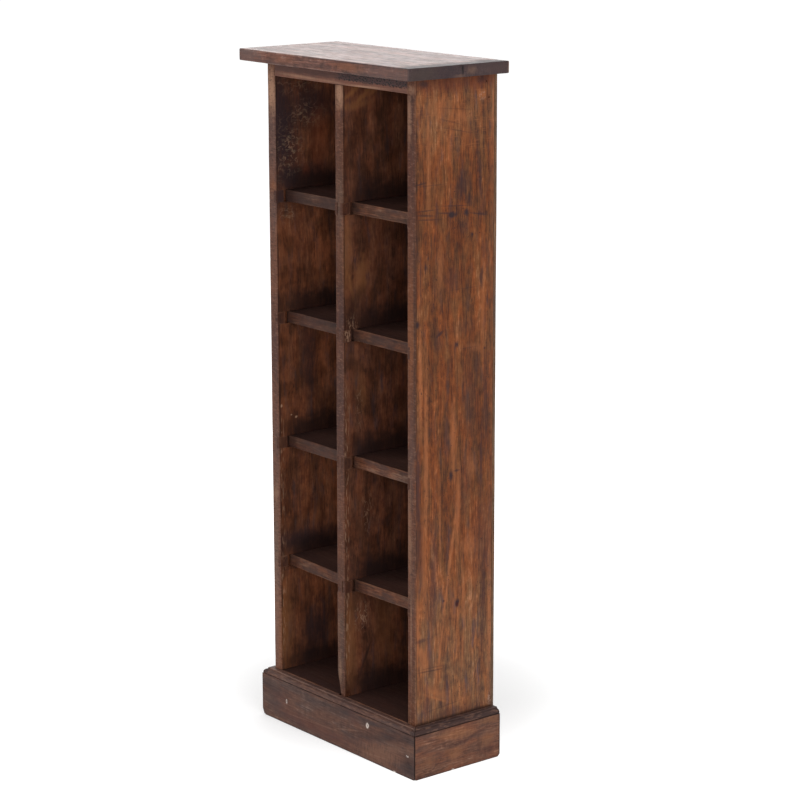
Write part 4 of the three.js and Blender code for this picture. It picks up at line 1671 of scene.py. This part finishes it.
# %% The mitred moulding
moulding, given, wanted = new_group(
    "mitred moulding",
    "GeometryNodeTree",
    {
        "Section": "object",
        "Length": "number",
        "Thick": "number",
        "Spacing": "number",
        "Start Mitre": "number",
        "End Mitre": "number",
        "Start Toe": "vector",
        "End Toe": "vector",
        "Gap": "number",
        "Wear": "number",
        "Wave": "number",
        "Turn": "number",
        "Place": "vector",
        "Seed": "number",
        "Has Cuts": "yes or no",
        "Cuts": "object",
        "Finish": "material",
    },
    {"Board": "mesh"},
)
end_point = joined(given["Length"], 0.0, 0.0)
line = {"Start": (0.0, 0.0, 0.0), "End": end_point}
run = add(moulding, "GeometryNodeCurvePrimitiveLine", line)[0]
steps = calc("CEIL", given["Length"] / given["Spacing"])
run = add(moulding, "GeometryNodeResampleCurve", {"Curve": run, "Count": steps})[0]
outline = add(moulding, "GeometryNodeObjectInfo", {"Object": given["Section"]})["Geometry"]
sweep = {"Curve": run, "Profile Curve": outline, "Fill Caps": True}
bar = add(moulding, "GeometryNodeCurveToMesh", sweep)[0]
point = add(moulding, "GeometryNodeInputPosition")[0]

x, y, z = parts_of(point)
set_back = given["Thick"] - y + given["Gap"]
start = set_back * given["Start Mitre"]
end = given["Length"] - set_back * given["End Mitre"]
mitred_x = (end - start) * (x / given["Length"]) + start


def toe_lift(distance, toe):
    """How high the worn corner lifts the foot at a distance from the end."""
    toe = parts_of(toe)
    worn_share = most(distance, 0.0) / toe["X"]
    left = most(1.0 - calc("SQRT", worn_share), 0.0)
    return left * left * toe["Y"]


from_end = given["Length"] - mitred_x
lift = most(toe_lift(mitred_x, given["Start Toe"]), toe_lift(from_end, given["End Toe"]))
shaped = placed(bar, joined(mitred_x, y, most(z, lift)))

x, y, z = parts_of(scaled(point, PER_METRE))
fillet_out = given["Thick"] * PER_METRE - (QUIRK_STEP + ROUND_RADIUS)
to_fillet = calc("LENGTH", joined(0.0, y - fillet_out, z - PLINTH_HEIGHT))
to_end = least(x, given["Length"] * PER_METRE - x)
shaped = stored(shaped, "arris", least(least(z, to_fillet), to_end))
seed_shift = scaled(SEED_STEP, given["Seed"])
shaped = stored_grain(shaped, point, GRAIN_ALONG_X, seed_shift)

here = scaled(point, PER_METRE) + seed_shift
wave = noise(here, WAVE_SIZE, 1.0)["Color"] - (0.5, 0.5, 0.5)
dents = most(noise(here, (12.0, 7.0, 7.0), 3.0)["Fac"] - 0.62, 0.0) * given["Wear"]
normal = add(moulding, "GeometryNodeInputNormal")[0]
shaped = shifted(shaped, scaled(wave, given["Wave"]) - scaled(normal, dents))
facing = {"Vector": point, "Axis": (0.0, 0.0, 1.0), "Angle": given["Turn"]}
faced = add(moulding, "ShaderNodeVectorRotate", facing, rotation_type="AXIS_ANGLE")[0]
stood = placed(shaped, faced + given["Place"])
fill(wanted, Board=painted(smoothed(joints_cut(stood, given)), given["Finish"]))
print("mitred moulding has", len(moulding.nodes), "nodes")

# %% The plinth's finish and boards
PLINTH_LOOK = {
    "Deep": stain(54, 38, 34),
    "Brown": stain(75, 53, 47),
    "Amber": stain(92, 66, 56),
    "Pale": stain(128, 100, 88),
    "Slate": stain(62, 50, 50),
    "Contrast": 1.15,
    "Slate Share": 0.15,
    "Hue Share": 0.6,
    "Curl": 0.3,
    "Fine": 1.0,
    "Mottle": 0.6,
    "Rubbed": 0.6,
    "Ring": 3.4,
    "Streak": 3.0,
    "Wander": 18.0,
}
BAND_SLATE = stain(42, 31, 31)
SIDE_SHADE = (1.66, 1.41, 1.17, 1.0)
SIDE_GOLD = stain(142, 96, 66)
SIDE_DARK = stain(58, 36, 36)
RED_BROWN = stain(92, 56, 48)
FACE_WARM = stain(122, 86, 68)
BARE_WOOD = stain(222, 208, 198)
HEAD_SUNK, HEAD_RADIUS = 1.4, 1.75
NEAR_TOE = (0.005, 0.004, 0.0)
FAR_TOE = (0.010, 0.015, 0.0)
FACE_RED = [
    (-50, 14, 90, 9, 2, 0.6),
    (-130, 34, 18, 10, 0, 0.4),
    (42, 52, 12, 8, 20, 0.4),
    (60, 22, 40, 5, -14, 0.4),
]
FACE_PATCH = [(98, 16, 38, 13, -8, 0.8), (124, 32, 20, 7, -10, 0.6), (160, 40, 8, 8, 0, 0.4)]
FACE_SHADE = [
    (-150, 50, 26, 10, 0, 0.3),
    (110, 44, 60, 6, -12, 0.5),
    (160, 18, 11, 13, -30, 0.7),
    (20, 56, 160, 3, 0, 0.3),
]
FACE_PALE = [
    (28, 32, 26, 0.9, -12, 0.45),
    (-70, 19, 34, 0.8, -3, 0.35),
    (-20, 22, 30, 0.8, -2, 0.35),
    (90, 12, 20, 0.8, -4, 0.4),
]
FACE_NAILS = [
    (-113.9, 34, 1.5, 3.0, 0, 0.9),
    (70.6, 50.3, 2.8, 3.4, 20, 1.0),
    (158, 31, 0.9, 1.2, 0, 0.9),
    (129, 1.0, 3.0, 1.2, 0, 0.8),
]
SIDE_CURVES = [
    (42, 37, 16, 2.0, -10, 0.6),
    (68, 36, 16, 2.4, 8, 0.8),
    (90, 42, 14, 2.2, 18, 0.7),
    (104, 45, 10, 2.0, 0, 0.5),
    (22, 50, 22, 2.4, -14, 0.5),
    (8, 38, 18, 1.0, 16, 0.4),
    (24, 14, 16, 1.0, 38, 0.5),
    (100, 24, 3, 18, 8, 0.55),
    (116, 14, 18, 6, 14, 0.55),
    (44, 22, 3, 6, 0, 0.4),
    (120, 47, 12, 1.0, -6, 0.5),
]
SIDE_LIGHT = [
    (60, 50, 30, 6, -4, 0.7),
    (112, 30, 12, 8, 0, 0.5),
    (56, 24, 14, 8, 0, 0.5),
    (10, 22, 14, 7, 0, 0.4),
    (118, 57, 16, 4, 0, 0.5),
]
SIDE_SPECKS = [(105, 67, 1.4, 1.0, 0, 0.6), (54, 1.2, 2.2, 1.2, 0, 0.8)]
ON_FACE = (
    (RED_BROWN, FACE_RED),
    (FACE_WARM, FACE_PATCH),
    (BAND_SLATE, FACE_SHADE),
    (EDGE_PALE, FACE_PALE),
)


def dress_plinth(place, finish):
    """Patches on the front board, warmer side boards, dark dirt at the mitre and the back end, and
    painted shade in the quirk of the moulding.
    """
    x, y, z = parts_of(place)
    off_middle = abs(x)
    aside = ease(off_middle, OUTER_X + SIDE_THICK - 1.6, OUTER_X + SIDE_THICK - 0.6)
    ahead = 1.0 - aside
    for colour, where in ON_FACE:
        lay(place, finish, "Y", where, colour, ahead, 0.8, soft=0.8, ragged=1.2)
    shaded(finish, aside, SIDE_SHADE)
    for colour, where in ((SIDE_GOLD, SIDE_LIGHT), (SIDE_DARK, SIDE_CURVES)):
        lay(place, finish, "X", where, colour, aside, 0.8, soft=0.8, ragged=1.2)
    round_foot = PLINTH_HEIGHT - FILLET_HEIGHT - ROUND_RADIUS
    broken = ease(noise(place, (26.0, 26.0, 9.0), detail=3.0)["Fac"], 0.36, 0.58, 0.1, 0.6)
    # Painted shade in the quirk of the moulding, on the front and the sides.
    quirk = within(z, round_foot - 1.0, round_foot - 0.1, 0.7) * broken
    tint(finish, quirk, LINE_BLACK)
    groove = within(z, round_foot - 0.9, round_foot + 0.3, 0.6)
    tint(finish, groove * ease(off_middle, 170.0, 171.0), LINE_BLACK, 0.75)
    band = ease(z, round_foot - 0.1, round_foot + 0.5)
    tint(finish, band * ease(off_middle, 160.0, 162.0), BAND_SLATE, 0.75)
    tint(finish, band, MAUVE, 0.2)
    rubbed = ease(noise(place, (11.0, 11.0, 2.0), detail=3.0)["Fac"], 0.5, 0.66)
    tint(finish, rubbed * band, EDGE_PALE, 0.35)
    from_side = OUTER_X + SIDE_THICK - off_middle
    corner = calc("LENGTH", joined(from_side, y - (FRONT - FRONT_THICK), 0.0))
    tint(finish, ease(corner, 0.9, 2.0, 1.0, 0.0), LINE_BLACK, 0.85)
    tint(finish, ease(y, BACK + 1.2, BACK + 3.2), LINE_BLACK, 0.6)
    foot = noise(place, (9.0, 9.0, 9.0))["Fac"] * 3.0 + z
    tint(finish, ease(foot, 2.4, 4.2, 1.0, 0.0), EDGE_DARK, 0.6)
    tint(finish, marks(place, "Y", FACE_NAILS, soft=0.5), BARE_WOOD)
    lay(place, finish, "X", SIDE_SPECKS, BARE_WOOD, aside, soft=0.5)


plinth_finish = wood_finish("plinth stain", PLINTH_LOOK, 0.48, 0.1, 0.16, dress_plinth)
back_y = box_mm("plinth_right")[1].y
front_length = 2 * (OUTER_X + SIDE_THICK)
side_length = back_y - FRONT + FRONT_THICK
front_section = section_curve("front section", FRONT_THICK)
side_section = section_curve("side section", SIDE_THICK)
nail_places = [box_mm(f"plinth_nail_{index}") for index in (1, 2, 3)]
heads = [((low.x + high.x) / 2, low.y, (low.z + high.z) / 2) for low, high in nail_places]
head_holes = [((x, y - 2, z), (0, HEAD_SUNK + 2, 0), HEAD_RADIUS) for x, y, z in heads]
PLINTH = {
    "plinth_front": {
        "Section": front_section,
        "Length": front_length * MM,
        "Thick": FRONT_THICK * MM,
        "End Toe": FAR_TOE,
        "Turn": math.radians(180),
        "Place": (front_length / 2 * MM, FRONT * MM, 0.0),
        "Seed": 3.0,
        "Has Cuts": True,
        "Cuts": cutters("nail holes", bores=head_holes),
    },
    "plinth_right": {
        "Start Mitre": 0.0,
        "Turn": math.radians(-90),
        "Place": (OUTER_X * MM, back_y * MM, 0.0),
        "Seed": 5.0,
    },
    "plinth_left": {
        "End Mitre": 0.0,
        "Start Toe": FAR_TOE,
        "Turn": math.radians(90),
        "Place": (-OUTER_X * MM, (FRONT - FRONT_THICK) * MM, 0.0),
        "Seed": 8.0,
    },
}
PLINTH_RULE = {
    "Section": side_section,
    "Length": side_length * MM,
    "Thick": SIDE_THICK * MM,
    "Spacing": 0.003,
    "Start Mitre": 1.0,
    "End Mitre": 1.0,
    "Start Toe": NEAR_TOE,
    "End Toe": NEAR_TOE,
    "Gap": 0.0005,
    "Wear": 0.0012,
    "Wave": 0.0006,
    "Has Cuts": False,
    "Finish": plinth_finish,
}
for node, values in PLINTH.items():
    piece = grow(f"{node}_moulding", moulding, {**PLINTH_RULE, **values})
    settle(piece, "plinth_stain", node)

# %% [markdown]
# ## Nails and back
#
# Wire nails fix the plinth, and eight more hold the thin back. One nail is turned as a lathe shape
# and set out on points by Geometry Nodes. The back is a plain thin board.

# %% The nails
NAIL_OUTLINE = [(0.0, 0.0), (1.1, 0.0), (1.5, 0.12), (1.52, 0.7), (0.95, 1.1), (0.9, 19.0), (0.0, 21.0)]
NAIL_SIDES = 16

nailing, given, wanted = new_group(
    "nails on points",
    "GeometryNodeTree",
    {"Places": "object", "Nail": "object", "Finish": "material"},
    {"Nails": "mesh"},
)
places = add(nailing, "GeometryNodeObjectInfo", {"Object": given["Places"]})["Geometry"]
nail = add(nailing, "GeometryNodeObjectInfo", {"Object": given["Nail"]})["Geometry"]
dots = add(nailing, "GeometryNodeMeshToPoints", {"Mesh": places})[0]
turns = {0: (0.0, 0.0, 0.0), 1: (0.0, math.tau, 0.0), "Seed": 5}
spin = add(nailing, "FunctionNodeRandomValue", turns, data_type="FLOAT_VECTOR")[0]
copies = {"Points": dots, "Instance": nail, "Rotation": spin}
nails = add(nailing, "GeometryNodeInstanceOnPoints", copies)[0]
fill(wanted, Nails=painted(nails, given["Finish"]))

lathe = bmesh.new()
outline = [lathe.verts.new((radius * MM, along * MM, 0.0)) for radius, along in NAIL_OUTLINE]
edges = [lathe.edges.new(pair) for pair in zip(outline, outline[1:])]
turn = {"cent": (0, 0, 0), "axis": (0, 1, 0), "angle": math.tau, "steps": NAIL_SIDES}
bmesh.ops.spin(lathe, geom=[*outline, *edges], use_merge=True, **turn)
bmesh.ops.remove_doubles(lathe, verts=lathe.verts, dist=0.00001)
bmesh.ops.recalc_face_normals(lathe, faces=lathe.faces)
nail_mesh = bpy.data.meshes.new("nail")
lathe.to_mesh(nail_mesh)
lathe.free()
nail_shape = bpy.data.objects.new("nail", nail_mesh)

steel = new_material("nail steel")
tree = steel.node_tree
place = scaled(add(tree, "ShaderNodeTexCoord")["Object"], PER_METRE)
tarnish = ease(noise(place, (0.7, 0.7, 0.7), 3.0)["Fac"], 0.35, 0.65)
colour = mixed(tarnish, stain(186, 176, 170), stain(104, 88, 80))
rough = ease(tarnish, 0.0, 1.0, 0.35, 0.6)
bump = add(tree, "ShaderNodeBump", {"Height": tarnish, "Distance": 0.00005})[0]
inputs = {"Base Color": colour, "Roughness": rough, "Metallic": 0.6, "Normal": bump}
add(tree, "ShaderNodeOutputMaterial", {"Surface": add(tree, "ShaderNodeBsdfPrincipled", inputs)[0]})


def nailed(name, nodes, head_places):
    """Nails whose heads are at these places, all driven towards +Y."""
    mesh = bpy.data.meshes.new(f"{name} places")
    mesh.from_pydata([tuple(Vector(head) * MM) for head in head_places], [], [])
    where = bpy.data.objects.new(f"{name} places", mesh)
    piece = grow(name, nailing, {"Places": where, "Nail": nail_shape, "Finish": steel})
    settle(piece, "nail_steel", *nodes)


nailed("plinth_nails", [f"plinth_nail_{index}" for index in (1, 2, 3)], heads)
back_nails = [f"back_nail_{side}_{index}" for side in ("left", "right") for index in (1, 2, 3, 4)]
print("nails:", len(heads) + len(back_nails))

# %% The back
BACK_LOOK = {
    **PANEL_LOOK,
    "Deep": stain(48, 32, 24),
    "Brown": stain(84, 58, 42),
    "Amber": stain(106, 76, 54),
    "Pale": stain(140, 108, 82),
    "Ring": 7.0,
    "Streak": 5.0,
    "Wander": 22.0,
    "Rubbed": 0.2,
}
back_finish = wood_finish("back ply", BACK_LOOK, 0.6, 0.2, 0.1)
settings = {"Spacing": 0.006, "Arris": 0.0004, "Seed": 15.0}
worn_board("back_sheet", "back_panel", back_finish, "back_ply", **settings)
for node in back_nails:
    back_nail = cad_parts[node]
    back_nail.data.materials.clear()
    back_nail.data.materials.append(steel)

# %% [markdown]
# ## Closing measurements
#
# The dressed tower has to keep the frame's size, so both boxes are gathered and the dressed size is
# printed.

# %% Sizes and finish
dressed_low, dressed_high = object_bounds()
sizes = {
    "cad": [list(cad_low), list(cad_high)],
    "visual": [list(dressed_low), list(dressed_high)],
}
print("dressed size in mm:", [round(side * PER_METRE, 1) for side in dressed_high - dressed_low])
